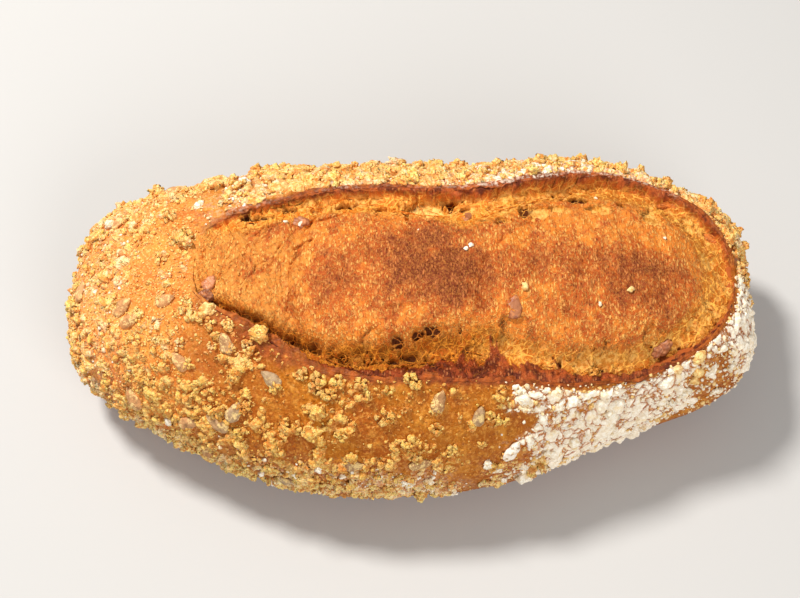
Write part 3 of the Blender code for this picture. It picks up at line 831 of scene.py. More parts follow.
def crumb_relief(plan, distance, turn):
    """What stands out of and sinks into the torn crumb, its pillows alone, and the readings for its
    colour: pillows and pebbles, and a web of walls round open cells in the valleys. The reading for holes
    is painted shade in holes, the crack and the seams, and a painted shadow on the left and far side of
    each hollow; the reading for pale floors is painted light."""
    x, y = in_mm(plan)
    flat = with_height(plan, 0 * x)
    bent = warped(flat * (1.0, 0.66, 1.0), 6 * MM, 2.4 * MM, 90)
    loose = warped(warped(flat, 7 * MM, 2.6 * MM, 93), 2.6 * MM, 0.9 * MM, 120)
    far = smooth(-6, 14, y)
    valley, openness = valleys(flat, distance, turn, far)
    pillows = added_noise(flat, ((1.0, 22, 95), (0.9, 10, 96)))
    relief = pillows + added_noise(bent, ((0.65, 5.5, 97), (0.16, 1.2, 98)))
    relief = relief + 0.34 * noise(loose, 2.4 * MM, 94)
    sunk, hollow, shaded_hole = open_cells(flat, loose, valley, openness, far)
    relief = relief - sunk
    pale = np.zeros(x.shape)
    stray = 1 + added_noise(flat, ((0.5, 2.6, 104), (0.25, 1.2, 107)))
    for middle_x, middle_y, half_length, half_width, depth, darkness in HOLLOWS:
        away = np.hypot((x - middle_x) / half_length, (y - middle_y) / half_width) * stray
        bowl = smooth(0.6, -0.8, (away - 1) * min(half_length, half_width))
        relief = relief * (1 - 0.75 * bowl) - 1.4 * depth * bowl
        relief = relief + 0.5 * smooth(1.5, 1.15, away) * (1 - bowl)
        hollow = np.maximum(hollow, bowl)
        valley = np.maximum(valley, 0.9 * bowl * far)
        # Painted light: a pale floor in the deeper far hollows that have no darkness.
        pale = np.maximum(pale, smooth(1.0, 0.55, away) * (darkness == 0) * smooth(1.1, 2.2, depth) * far)
        # Painted shadow on the left and far side of each hollow, and painted shade inside it by its darkness.
        lean = (middle_x - x) / half_length + 0.5 * (y - middle_y) / half_width
        shaded_hole = np.maximum(shaded_hole, smooth(1.05, 0.5, away) * darkness)
        shaded_hole = np.maximum(shaded_hole, 0.5 * bowl * smooth(0.15, 0.85, lean))
    ragged = 1 + added_noise(flat, ((0.5, 5, 105), (0.5, 2, 122)))
    crack = smooth(1.25, 0.35, from_line(plan, CRACK_LINE) / CRACK_HALF_WIDTH * ragged)
    relief, seam = creased(relief, plan, flat)
    wrinkles = smooth(0.16, 0.0, np.abs(noise(loose * (1.5, 0.5, 1.0), 4.5 * MM, 121)))
    relief = relief - 0.75 * (smooth(-34, -46, x) + 0.4 * valley) * wrinkles - CRACK_DEPTH * crack
    # The reading for holes carries painted shade in holes, the crack and the seams.
    seen = {
        "hollow": np.maximum(hollow, crack), "valley": valley, "openness": openness, "pale": pale,
        "shaded_hole": np.maximum(np.maximum(shaded_hole, 0.5 * crack), 0.45 * seam),
    }
    return relief * MM, pillows * MM, seen


def toast_share(plan):
    """How brown the top of the mound is: soft spots, broken up by noise."""
    x, y = in_mm(plan)
    flat = with_height(plan, 0 * x)
    toast = np.full(x.shape, 0.12)
    for middle_x, middle_y, half_length, half_width, share in TOAST_SPOTS:
        away = ((x - middle_x) / half_length) ** 2 + ((y - middle_y) / half_width) ** 2
        toast = toast + share * np.exp(-(away**1.5))
    return toast + 0.30 * layered(flat, 12 * MM, 2, 110) + 0.2 * noise(flat, 3.0 * MM, 112)


def make_torn_crumb():
    """A square grid bent round into the slash's outline and parted in two, with its edge tucked under
    the lip. Each half is shut below by a wall and a fan to a point inside the loaf."""
    along, across = CRUMB_GRID
    v, u = np.meshgrid(np.linspace(-1, 1, across), np.linspace(-1, 1, along), indexing="ij")
    disc_x, disc_y = u * np.sqrt(1 - v**2 / 2), v * np.sqrt(1 - u**2 / 2)
    turn = (np.arctan2(disc_y, disc_x) / math.tau) % 1.0
    out = np.hypot(disc_x, disc_y)
    _, _, radius = torn_frame(turn, out)
    out = out * (1 + LIP_TUCK / radius)
    plan, distance, radius = torn_frame(turn, out)
    far = smooth(-8, 12, plan[..., 1] / MM)
    past = distance - skin_reach(turn)
    skin = smooth((0.35 + 1.0 * far) * MM, -(0.35 + 0.8 * far) * MM, past)
    height = torn_height(turn, plan, distance, radius, skin)
    relief, _, seen = crumb_relief(plan, distance, turn)
    calm = smooth(0.0, 2.0 * MM, distance)
    height = height + relief * (1 - 0.45 * skin) * calm + 0.35 * MM * skin * calm
    joined = smooth(0.085, 0.045, np.abs(turn - JOINED_AT))
    height = height - 2.2 * MM * (1 - joined) * smooth(0.4 * MM, -1.2 * MM, distance)
    height = height + joined * (lip_wobble(turn)[1] + 0.8 * MM) * np.exp(-np.abs(distance) / (3.5 * MM))
    height = height - 2.4 * MM * joined * smooth(-0.1 * MM, -1.7 * MM, distance)
    points = with_height(plan, height)
    toast = np.clip(toast_share(plan) * smooth(4 + 6 * far, 17 + 3 * far, distance / MM), 0, 1)
    readings = {
        "toast": toast * (1 - seen["hollow"]),
        "wall": smooth(10, 2.5, distance / MM * (1 + 0.3 * noise(points, 6 * MM, 117))) * far,
        "skin": skin,
        "hollow": seen["hollow"] * (1 - skin),
        # Painted shade in holes, the crack, seams and the hollows' shadowed sides.
        "shaded_hole": seen["shaded_hole"],
        "valley": seen["valley"],
        # Painted light: pale floors of some far hollows.
        "pale": seen["pale"] * (1 - skin),
        # The right end counts as far too, so the near valley there takes the far side's lighter colours as
        # painted light.
        "far": np.maximum(far, smooth(16, 44, plan[..., 0] / MM)),
    }
    halves = []
    parts = {"torn_crumb_left": slice(0, CRUMB_PARTS + 1), "torn_crumb_right": slice(CRUMB_PARTS, along)}
    for title, part in parts.items():
        grid = points[:, part]
        kept = {name: values[:, part] for name, values in readings.items()}
        inner = np.append(grid.mean((0, 1))[:2], CRUMB_POINT)
        halves.append(shut_sheet(title, grid, (0, 0, -5 * MM), inner, kept))
    return halves


def shut_sheet(name, grid, sunk, inner, readings):
    """An open grid of points made a closed body: its rim goes down by a step, and then in to one point."""
    rows, columns = grid.shape[:2]
    rim = rim_of_sheet(rows, columns)
    top = grid.reshape(-1, 3)
    start, count = len(top), len(rim)
    order = np.arange(count)
    following = (order + 1) % count
    side = np.concatenate([
        np.stack([rim[order], start + order, start + following], -1),
        np.stack([rim[order], start + following, rim[following]], -1),
        np.stack([start + order, np.full(count, start + count), start + following], -1),
    ])
    points = np.concatenate([top, top[rim] + sunk, [inner]])
    faces = np.concatenate([sheet_faces(rows, columns), side])
    spare = np.zeros(count + 1)
    kept = {title: np.append(values.ravel(), spare) for title, values in readings.items()}
    return mesh_of(name, points, faces, kept)


def make_lip_edge():
    """The thin ragged edge of crust that leans in over the crumb. Its section goes out along the top from
    the root to the tip and back underneath, and is (1 - share)**0.6 as thick as at the root."""
    turn = np.arange(EDGE_COLUMNS) / EDGE_COLUMNS
    lip = crust_point(turn, 0.0)
    outward = with_height(slash_outward(turn), np.zeros(EDGE_COLUMNS))
    ragged = added_noise(lip, ((0.75, 6, 64), (0.5, 2.4, 65), (0.3, 1.1, 66)))
    reach = closed_curve(EDGE_REACH, turn) * np.clip(1 + ragged, 0.15, 2.2) * MM
    curl = closed_curve(EDGE_CURL, turn) * (1 + 0.8 * noise(lip, 8 * MM, 67)) * MM
    buried = 2.2 * MM * smooth(0.105, 0.065, np.abs(turn - NO_EDGE_AT))
    rings, shares = [], []
    for share in np.concatenate([np.linspace(0, 1, EDGE_ROWS), np.linspace(1, 0, EDGE_ROWS)[1:]]):
        below = len(rings) >= EDGE_ROWS
        thick = EDGE_THICKNESS * (1 - share) ** 0.6 * below + 0.12 * MM * below
        rise = curl * share**1.6 - 0.35 * MM - thick + 0.18 * MM * noise(lip, 1.6 * MM, 68) * share - buried
        place = lip + outward * (0.8 * MM - (reach + 0.8 * MM) * share)[:, None]
        rings.append(place + with_height(np.zeros((EDGE_COLUMNS, 2)), rise))
        shares.append(share * np.ones(EDGE_COLUMNS))
    points, shares = np.stack(rings), np.stack(shares)
    count = len(rings)
    ring, column = np.meshgrid(np.arange(count), np.arange(EDGE_COLUMNS), indexing="ij")
    after, beside = (ring + 1) % count, (column + 1) % EDGE_COLUMNS
    a, b = ring * EDGE_COLUMNS + column, ring * EDGE_COLUMNS + beside
    c, d = after * EDGE_COLUMNS + beside, after * EDGE_COLUMNS + column
    faces = two_triangles(a, b, c, d)
    darkness = np.broadcast_to(lip_form(turn)[3], shares.shape)
    dust = np.broadcast_to(flour_share(turn, 0.05 + 0 * turn, lip), shares.shape) * (1 - shares)
    return mesh_of("lip_edge", points.reshape(-1, 3), faces, {"rim": darkness, "flour": dust})


def make_threads():
    """Threads of crumb across the open cells: thin tubes that taper to both ends, drawn where the crumb
    is open. A thread runs a few turns and millimetres across, and lies on the pillows' height."""
    random = np.random.default_rng(61)
    tries = 9000
    turn, way = random.random(tries), random.uniform(3.5, 16.0, tries) * MM
    plan, distance, radius = torn_frame(turn, 1 - way / torn_frame(turn, np.ones(tries))[2])
    openness = crumb_relief(plan, distance, turn)[2]["openness"]
    chosen = np.flatnonzero(random.random(tries) < openness)[:THREAD_COUNT]
    turn, way, radius = turn[chosen], way[chosen], radius[chosen]
    length = random.uniform(3.0, 6.5, len(chosen)) * MM
    heading = random.normal(math.pi / 2, 1.0, len(chosen))
    girth = random.uniform(0.14, 0.26, len(chosen)) * MM
    share = np.linspace(-0.5, 0.5, THREAD_RINGS)[:, None]
    bend = random.normal(0, 0.4, (2, len(chosen))) * MM
    across = share * length * np.cos(heading) + bend[0] * np.cos(share * math.pi * 2)
    inwards = share * length * np.sin(heading) + bend[1] * np.cos(share * math.pi)
    turns = turn + across / (math.tau * np.maximum(radius, 30 * MM)) * 1.2
    ways = np.clip(way + inwards, 0.3 * MM, None)
    place, distance, radii = torn_frame(turns, 1 - ways / torn_frame(turns, np.ones(turns.shape))[2])
    _, pillows, _ = crumb_relief(place, distance, turns)
    height = torn_height(turns, place, distance, radii) + pillows
    height = height + (random.uniform(-0.7, -0.1, len(chosen)) * MM) - 1.4 * MM * (2 * np.abs(share)) ** 4
    path = np.moveaxis(with_height(place, height), 0, 1)
    along = np.gradient(path, axis=1)
    along /= np.linalg.norm(along, axis=-1, keepdims=True)
    side = np.cross(along, (0, 0, 1.0))
    side /= np.linalg.norm(side, axis=-1, keepdims=True)
    up = np.cross(side, along)
    angle = np.arange(THREAD_SIDES) / THREAD_SIDES * math.tau
    taper = girth[:, None] * (0.45 + 0.55 * np.cos(share[:, 0] * math.pi))[None]
    tube = path[:, :, None] + taper[:, :, None, None] * (
        side[:, :, None] * np.cos(angle)[:, None] - up[:, :, None] * np.sin(angle)[:, None]
    )
    points = np.concatenate([tube.reshape(len(chosen), -1, 3), path[:, :1], path[:, -1:]], axis=1)
    joined = copied_faces(ring_faces(THREAD_RINGS, THREAD_SIDES), len(chosen), points.shape[1])
    far = smooth(-8, 12, points[..., 1] / MM)
    readings = {"far": far, "valley": 0 * far + 1.0, "wall": 0.6 * far, "pale": 0 * far}
    return mesh_of("crumb_threads", points.reshape(-1, 3), joined, readings)


# ------------------------------------------------------------------ toppings


def crust_sheet(name, turns, downs, columns, rows, lift_of):
    """A sheet that follows the crust, and rises out of it or sinks into it by the lift that a function of
    (turn, down, place) gives, with its rim sunk all round and closed inside the loaf."""
    down, turn = np.meshgrid(np.linspace(*downs, rows), np.linspace(*turns, columns), indexing="ij")
    place, outward = crust_skin(turn, down)
    lift, readings = lift_of(turn, down, place)
    rows_in = np.minimum(np.arange(rows), np.arange(rows)[::-1])[:, None]
    columns_in = np.minimum(np.arange(columns), np.arange(columns)[::-1])[None]
    inset = smooth(0, 5, np.minimum(rows_in, columns_in))
    lift = np.minimum(lift, (-0.8 + 3.2 * inset) * MM)
    grid = (place + outward * lift[..., None])[::-1]
    kept = {title: values[::-1] for title, values in readings.items()}
    rim_inwards = -2.5 * MM * outward[::-1].reshape(-1, 3)[rim_of_sheet(rows, columns)]
    inner = np.append(0.55 * place.mean((0, 1))[:2], COAT_POINT)
    return shut_sheet(name, grid, rim_inwards, inner, kept)


def crumbs_of(place, share, size, highest, seed):
    """Crumbs of about one size as a height over the crust: in each drawn cell, a steep-sided lump
    highest * sqrt(1 - (distance / radius)**2), where the cell's own draw is under the share."""
    crooked = warped(warped(place, size * 0.9, size * 0.30, seed), size * 0.4, size * 0.10, seed + 5)
    nearest, _, owner = cells(crooked, size, seed + 10)
    wide, chance, tall, tone = draws(owner, 4)
    body = np.sqrt(np.clip(1 - (nearest / (0.44 + 0.20 * wide)) ** 2, 0, 1)) ** 0.8
    return np.where(chance < share, highest * (0.5 + 0.5 * tall) * body, 0), tone


def meal_lift(turn, down, place):
    """The meal's coat: crumbs of four sizes, the highest of them showing, with a knobbly top."""
    share = meal_share(turn, down, place)
    coarse = smooth(0.35, 0.80, share + 0.3 * noise(place, 7 * MM, 130))
    left = smooth(-50, -90, place[..., 0] / MM)
    total, tone = np.zeros(share.shape), np.zeros(share.shape)
    for size, highest, chance, seed in (
        (6.4, 2.9, 0.7 * coarse * (1 - 0.6 * left), 140), (4.2, 2.1, 0.8 * share * (1 - 0.3 * left), 160),
        (2.3, 1.0, 0.9 * share, 180), (1.3, 0.45, 0.1 + 0.8 * share, 200),
    ):
        height, drawn = crumbs_of(place, chance * smooth(1.67, 1.5, down), size * MM, highest, seed)
        tone = np.where(height > total, drawn, tone)
        total = np.maximum(total, height)
    knobs = added_noise(place, ((0.30, 1.15, 220), (0.16, 0.65, 221)))
    rooted = smooth(0.0, 0.3, total)
    lift = total + knobs * rooted - 0.45 * (1 - rooted)
    flour = flour_share(turn, down, place)
    return lift * MM, {"tone": tone, "height": np.clip(total / 1.6, 0, 1), "flour": flour}


def make_meal_coats():
    return [crust_sheet(name, (first, last), COAT_DOWN, columns, rows, meal_lift)
            for name, first, last, columns, rows in COATS]


def flour_lift(turn, down, place):
    """Flour dried into pillowy plates of three sizes with cracks between, some of them lost. A plate
    rises steeply from its edges: (next distance - nearest distance)**0.6."""
    cover = flour_share(turn, down, place) * smooth(0.79, 0.80, from_left(turn))
    crooked = warped(warped(place, 9 * MM, 1.6 * MM, 237), 3.0 * MM, 0.8 * MM, 230)
    crooked = warped(crooked, 1.2 * MM, 0.3 * MM, 236)
    height, free = np.zeros(cover.shape), np.ones(cover.shape, bool)
    plates = ((5.6, 1.2, 0.78, 231), (3.2, 0.95, 0.85, 232), (1.7, 0.6, 0.97, 233))
    for size, tallest, chance_kept, seed in plates:
        nearest, near, owner = cells(crooked, size * MM, seed)
        chance, tall = draws(owner, 2)
        held = free & (chance < chance_kept) & (chance * 0.5 + 0.14 < cover)
        gap = np.clip(near - nearest - 0.30 / size, 0, 1)
        height = np.where(held, np.clip(gap / 0.45, 0, 1) ** 0.55 * tallest * (0.7 + 0.6 * tall), height)
        free = free & ~held
    height = height * (1 + 0.35 * noise(place, 5 * MM, 238))
    knobs = added_noise(place, ((0.30, 1.6, 234), (0.12, 0.8, 239)))
    lift = (1.25 + knobs) * height - 0.45 * (1 - smooth(0, 0.25, height))
    return lift * MM, {"plate": height}


def make_flour_coat():
    return crust_sheet("flour_coat", (0.775, 1.04), (0.012, 1.62), 440, 200, flour_lift)


def lumpy(strength, size):
    """A rule that swells a ball's points in and out with noise, more strongly in broad lumps."""

    def rough(points, seed):
        return 1 + strength * (noise(points, size, seed) + 0.5 * noise(points, size / 2, seed + 1))

    return rough


def draw_on_crust(count, share, seed, lowest=1.6, nearest_lip=0.02):
    """Seeded places on the crust, even by area and then thinned by a share from 0 to 1."""
    random = np.random.default_rng(seed)
    turns, downs = [], []
    found = 0
    while found < count:
        turn, down = random.random(DRAWN_AT_ONCE), random.uniform(nearest_lip, lowest, DRAWN_AT_ONCE)
        step = 0.002
        place = crust_point(turn, down)
        along = crust_point(turn + step, down) - crust_point(turn - step, down)
        below = crust_point(turn, down + step) - crust_point(turn, down - step)
        area = np.linalg.norm(np.cross(along, below), axis=-1)
        keep = random.random(DRAWN_AT_ONCE) < area / np.percentile(area, 99.5) * share(turn, down, place)
        turns.append(turn[keep])
        downs.append(down[keep])
        found += keep.sum()
    return np.concatenate(turns)[:count], np.concatenate(downs)[:count]


def clump_places():
    """The solid's own clumps, by the same seeded rule: (turn, way down, radius)."""
    random = np.random.default_rng(CLUMP_SEED)
    taken = [even_crust(turn, down) for turn, down, _ in KERNELS + FLOUR_LUMPS]
    places = list(FLOUR_LUMPS)
    for count, radius, spacing in CLUMPS:
        wanted = len(places) + count
        while len(places) < wanted:
            turn, down = random.random(), random.uniform(0.06, 1.25)
            if FLOURED[0] < turn < FLOURED[1] and random.random() > 0.2:
                continue
            place = even_crust(turn, down)
            clear = np.linalg.norm(place - even_crust(turn, 0.0)) > 1.6 * radius
            if clear and all(np.linalg.norm(place - other) > spacing for other in taken):
                taken.append(place)
                places.append((turn, down, radius))
    return np.array(places)


def beside_kernels():
    """A clump stuck to one end or side of each kernel, and the ones by the slash."""
    turn, down, _ = np.array(KERNELS).T
    angle = np.random.default_rng(37).uniform(0, math.tau, len(turn))
    stuck = np.stack([turn + 0.006 * np.cos(angle), down + 0.055 * np.sin(angle), 0 * turn + 2.4 * MM], -1)
    return np.concatenate([stuck, LIP_CLUMPS])


def piled(name, places, in_each, seed):
    """Crumbs piled into clumps: each clump's crumbs are spread over a disc on the crust, higher towards
    its middle."""
    turn, down, radius = places.T
    random = np.random.default_rng(seed)
    middle, outward = crust_skin(turn, down)
    along, across, up = local_axes(outward, random.uniform(0, math.tau, len(turn)))
    spread = np.sqrt(random.random((len(turn), in_each))) * 1.05
    angle = random.uniform(0, math.tau, (len(turn), in_each))
    squeezed = random.uniform(0.65, 1.0, (len(turn), 1))
    aside = radius[:, None] * spread
    height = radius[:, None] * (0.42 * np.sqrt(np.clip(1.15 - spread**2, 0, 1)) + 0.06)
    place = (
        middle[:, None]
        + along[:, None] * (aside * np.cos(angle))[..., None]
        + across[:, None] * (aside * np.sin(angle) * squeezed)[..., None]
        + up[:, None] * (height * random.uniform(0.3, 1.0, height.shape))[..., None]
    )
    girth = radius[:, None] * random.uniform(0.18, 0.42, height.shape)
    girth = np.clip(girth, 0.42 * MM, 1.35 * MM)
    sizes = girth.reshape(-1, 1) * random.uniform(0.75, 1.25, (girth.size, 3))
    facing_out = np.repeat(outward, in_each, axis=0)
    axes = local_axes(facing_out, random.uniform(0, math.tau, girth.size))
    tone = np.clip(np.repeat(random.random(len(turn)), in_each) + random.normal(0, 0.2, girth.size), 0, 1)
    place = place.reshape(-1, 3)
    return scattered(name, place, axes, sizes, 1, lumpy(0.62, 1.0 * MM), {"tone": tone}, seed + 1)


def make_floured_lumps(places):
    """The largest lumps of flour, and then the balls of meal: each a knobbly flattened ball that stands
    a little out of the crust."""
    places = np.concatenate([places, MEAL_BALLS])
    turn, down, radius = places.T
    middle, outward = crust_skin(turn, down)
    middle = middle + outward * (0.4 * radius * (turn > 0.79))[:, None]
    sizes = radius[:, None] * (1.05, 0.95, 0.7)
    axes = local_axes(outward, np.linspace(0, 5, len(turn)))

    def rough(points, seed):
        return 1 + added_noise(points, ((0.28, 2.4, seed), (0.14, 1.0, seed + 1)))

    return scattered("floured_lumps", middle, axes, sizes, 4, rough, {"tone": LUMP_TONES}, 255, crisp=False)


def make_meal(name, count, sizes_mm, times, seed, share, gather, lump=(0.45, 0.9 * MM)):
    """Crumbs of one kind: many small ones and few large, drawn over the crust by a share, and lifted by
    up to gather mm so that some lie on others."""
    random = np.random.default_rng(seed)
    turn, down = draw_on_crust(count, share, seed + 1)
    smallest, largest = sizes_mm
    radius = smallest * (largest / smallest) ** (random.random(count) ** 1.8) * MM
    place, outward = crust_skin(turn, down)
    axes = local_axes(outward, random.uniform(0, math.tau, count))
    sizes = radius[:, None] * random.uniform(0.65, 1.35, (count, 3)) * (1, 1, 0.85)
    lifted = radius * random.uniform(0.0, 0.4, count) + gather * MM * random.random(count)
    tone = random.random(count)
    place = place + outward * lifted[:, None]
    return scattered(name, place, axes, sizes, times, lumpy(*lump), {"tone": tone}, seed + 2)


def kernel_shape(size, around=20, lengthwise=22):
    """A sunflower kernel: rings along its length whose half width is t**0.42 * (1 - t)**0.75, scaled to 1,
    and a flattened section with a faint ridge down each face."""
    t = (1 - np.cos(np.linspace(0.06, 0.97, lengthwise) * math.pi)) / 2
    girth = t**0.42 * (1 - t) ** 0.75
    girth = girth / girth.max()
    angle = np.arange(around) / around * math.tau
    ridge = 1 + 0.05 * np.cos(angle * 6)
    x = (t - 0.5)[:, None] * size[0] + 0 * angle
    y = girth[:, None] * size[1] / 2 * np.cos(angle) * ridge
    z = girth[:, None] ** 0.8 * size[2] / 2 * np.sign(np.sin(angle)) * np.abs(np.sin(angle)) ** 0.8 * ridge
    ends = np.array([[-0.5 * size[0], 0, 0], [0.5 * size[0], 0, 0]])
    points = np.concatenate([np.stack([x, y, z], -1).reshape(-1, 3), ends])
    return points, ring_faces(lengthwise, around)


def set_kernels(name, place, outward, heading, scale, sunk, seed, tones=(0, 1), white=0.0):
    """Kernels laid on a surface, each a little tilted and uneven."""
    random = np.random.default_rng(seed)
    outward = outward + random.normal(0, 0.10, outward.shape)
    outward /= np.linalg.norm(outward, axis=-1, keepdims=True)
    along, across, up = local_axes(outward, heading)
    shape, faces = kernel_shape(KERNEL_SIZE)
    points = (
        (place - up * sunk)[:, None]
        + (along[:, None] * shape[:, :1] + across[:, None] * shape[:, 1:2] + up[:, None] * shape[:, 2:3])
        * scale[:, None, None]
    )
    bumps = MM * added_noise(points, ((0.45, 2.6, 32), (0.20, 0.9, 33)))
    aside = 0.45 * MM * noise(points, 2.8 * MM, 36)
    points = points + up[:, None] * bumps[..., None] + across[:, None] * aside[..., None]
    joined = copied_faces(faces, len(place), len(shape))
    tone = np.repeat(random.uniform(*tones, len(place)), len(shape))
    dusted = np.repeat(white + 0 * scale, len(shape))
    return mesh_of(name, points.reshape(-1, 3), joined, {"tone": tone, "flour": dusted})


def make_kernels():
    """Kernels baked onto the crust, pointed end first along their heading."""
    turn, down, heading = np.array(KERNELS).T
    place, outward = crust_skin(turn, down)
    white = np.where(turn > 0.785, 0.42, 0.5 * flour_share(turn, down, place))
    scale = np.random.default_rng(31).uniform(0.85, 1.06, len(turn))
    heading = np.radians(heading)
    return set_kernels("sunflower_kernels", place, outward, heading, scale, -0.5 * MM, 34, white=white)


def make_nuts():
    """Broken pieces of walnut held in the torn crumb, with lobed faces."""
    turn, inward, heading, length, width = np.array(NUTS[1:]).T
    place = torn_point(turn, inward)
    outward = facing(torn_point, turn, inward)
    axes = local_axes(outward, np.radians(heading))
    place = place - outward * 0.5 * MM
    sizes = np.stack([length / 2, width / 2, 0.30 * width], -1)
    lobed = lumpy(0.36, 2.2 * MM)
    return scattered("nut_pieces", place, axes, sizes, 4, lobed, {"tone": NUT_TONES}, 42, crisp=False)


def make_specks():
    """Specks of flour and meal caught on the torn crumb."""
    turn, inward, radius, tone = np.array(SPECKS).T
    place = torn_point(turn, inward)
    outward = facing(torn_point, turn, inward)
    sizes = radius[:, None] * MM * (1.2, 0.9, 0.7)
    axes = local_axes(outward, 2.0 * np.arange(len(turn)))
    place = place + outward * 0.2 * MM
    return scattered("crumb_specks", place, axes, sizes, 2, lumpy(0.4, 1.0 * MM), {"tone": tone}, 45)


def make_held_kernel():
    """The kernel that lies flush in the mound."""
    turn, inward, heading, length, _ = (np.array([value]) for value in NUTS[0])
    place = torn_point(turn, inward)
    outward = facing(torn_point, turn, inward)
    scale = length / KERNEL_SIZE[0]
    heading = np.radians(heading)
    return set_kernels("kernel_in_the_crumb", place, outward, heading, scale, 1.1 * MM, 35, (0.5, 0.5))


# ------------------------------------------------------------------ materials

UNSTRETCHED = (1, 1, 1)
# The noise that bends cells: (its size, how far it pushes), both in cells
GRAIN_BENDS = ((1 / 0.7, 0.35),)
STRAND_BENDS = ((1.6, 0.9), (0.5, 0.22))


def plug(tree, value, socket):
    """Gives a socket a value, or joins another node's output to it."""
    if isinstance(value, bpy.types.NodeSocket):
        tree.links.new(value, socket)
    else:
        socket.default_value = value


def add(tree, kind, inputs=None, **settings):
    """Adds a node with its settings and its inputs."""
    made = tree.nodes.new(kind)
    for title, value in settings.items():
        setattr(made, title, value)
    for title, value in (inputs or {}).items():
        plug(tree, value, made.inputs[title])
    return made


def new_material(title):
    material = bpy.data.materials.new(title)
    material.use_nodes = True
    return material, material.node_tree


def dress(material, colour, roughness, specular, heights):
    """Gives a material's shader its colour, roughness and gloss, and its bumps: (height, depth in mm)
    pairs, coarse first, each laid on the one before."""
    tree = material.node_tree
    surface = tree.nodes["Principled BSDF"]
    plug(tree, colour, surface.inputs["Base Color"])
    plug(tree, roughness, surface.inputs["Roughness"])
    surface.inputs["Specular IOR Level"].default_value = specular
    normal = None
    for height, depth in heights:
        bump = add(tree, "ShaderNodeBump", {"Height": height, "Distance": depth * MM, "Strength": 1.0})
        if normal:
            tree.links.new(normal, bump.inputs["Normal"])
        normal = bump.outputs["Normal"]
    tree.links.new(normal, surface.inputs["Normal"])
    return material


def reading(tree, title):
    """The value kept at each point of the mesh under a title."""
    return add(tree, "ShaderNodeAttribute", attribute_name=title).outputs["Fac"]


def object_place(tree):
    return add(tree, "ShaderNodeTexCoord").outputs["Object"]


def speckle(tree, size, detail=3.0, roughness=0.55, stretch=UNSTRETCHED, distortion=0.0):
    """Noise on Object coordinates with bumps of about the given size in mm."""
    scaled = add(tree, "ShaderNodeMapping", {"Vector": object_place(tree), "Scale": stretch})
    made = add(tree, "ShaderNodeTexNoise", {
        "Vector": scaled.outputs["Vector"], "Scale": 1 / (size * MM), "Detail": detail,
        "Roughness": roughness, "Distortion": distortion,
    })
    return made.outputs["Fac"]


def spots(tree, size, low, high, *made):
    """A speckle cut to the spots where it goes from low to high."""
    return between(tree, speckle(tree, size, *made), low, high)


def cell_pattern(tree, size, bends, detail, stretch, shift, **settings):
    """Cells of about the given size in mm on Object coordinates that noise has pushed about."""
    size = size * MM
    where = moved = object_place(tree)
    for coarse, push in bends:
        level = {"Vector": where, "Scale": 1 / (coarse * size), "Detail": detail}
        bend = {0: add(tree, "ShaderNodeTexNoise", level).outputs["Color"], 1: (push * size,) * 3}
        aside = add(tree, "ShaderNodeVectorMath", bend, operation="MULTIPLY").outputs[0]
        moved = add(tree, "ShaderNodeVectorMath", {0: moved, 1: aside}, operation="ADD").outputs[0]
    scaled = add(tree, "ShaderNodeMapping", {"Vector": moved, "Scale": stretch, "Location": (shift,) * 3})
    inputs = {"Vector": scaled.outputs["Vector"], "Scale": 1 / size}
    return add(tree, "ShaderNodeTexVoronoi", inputs, **settings)


def grains(tree, size, stretch=UNSTRETCHED, shift=0.0):
    """Grains: the distance from each one's middle in sizes, and a number drawn for each."""
    made = cell_pattern(tree, size, GRAIN_BENDS, 1.0, stretch, shift)
    drawn = add(tree, "ShaderNodeSeparateColor", {"Color": made.outputs["Color"]}).outputs[0]
    return made.outputs["Distance"], drawn


def strands(tree, size, width, stretch, shift=0.0):
    """A web of thin crooked strands between cells; width is a share of the size."""
    made = cell_pattern(tree, size, STRAND_BENDS, 2.0, stretch, shift, feature="DISTANCE_TO_EDGE")
    return between(tree, made.outputs["Distance"], width, 0.25 * width)


def dashes(tree, size, share, stretch, shift=0.0):
    """Short flecks: the middles of a share of the grains."""
    away, drawn = grains(tree, size, stretch, shift)
    return product(tree, between(tree, away, 0.46, 0.20), between(tree, drawn, 1.02 - share, 1.04 - share))


def between(tree, value, low, high, to_low=0.0, to_high=1.0):
    """A value spread smoothly from one range over another, and clipped to it."""
    return add(tree, "ShaderNodeMapRange", {
        "Value": value, "From Min": low, "From Max": high, "To Min": to_low, "To Max": to_high,
    }, interpolation_type="SMOOTHSTEP").outputs["Result"]


def worked(tree, operation, first, *others, clipped=True):
    """Values put together one after another, with each result clipped to 0 and 1."""
    for other in others:
        made = add(tree, "ShaderNodeMath", {0: first, 1: other}, operation=operation, use_clamp=clipped)
        first = made.outputs["Value"]
    return first


def product(tree, *values):
    return worked(tree, "MULTIPLY", *values)


def sum_of(tree, *values):
    return worked(tree, "ADD", *values)


def larger_of(tree, *values):
    return worked(tree, "MAXIMUM", *values)


def minus(tree, whole, part):
    return worked(tree, "SUBTRACT", whole, part, clipped=False)


def blended(tree, share, first, second):
    """One colour going over into another by a share from 0 to 1."""
    return add(tree, "ShaderNodeMix", {0: share, 6: first, 7: second}, data_type="RGBA").outputs[2]


def painted(tree, colour, share, tint, strength=1.0):
    """A colour with a tint laid over it by a share, at the most by the strength."""
    if strength < 1.0:
        share = product(tree, share, strength)
    return blended(tree, share, colour, tint)


def mottled(tree, colour, layers):
    """A colour with layers of tinted spots: (size in mm, low, high, strength, tint, how it is made)."""
    for size, low, high, strength, tint, made in layers:
        colour = painted(tree, colour, spots(tree, size, low, high, *made), tint, strength)
    return colour


def along_axis(tree, axis, low, high):
    """A share that rises from 0 to 1 between two places, in mm, on an axis of the loaf."""
    parts = add(tree, "ShaderNodeSeparateXYZ", {"Vector": object_place(tree)})
    return between(tree, parts.outputs[axis], low * MM, high * MM)


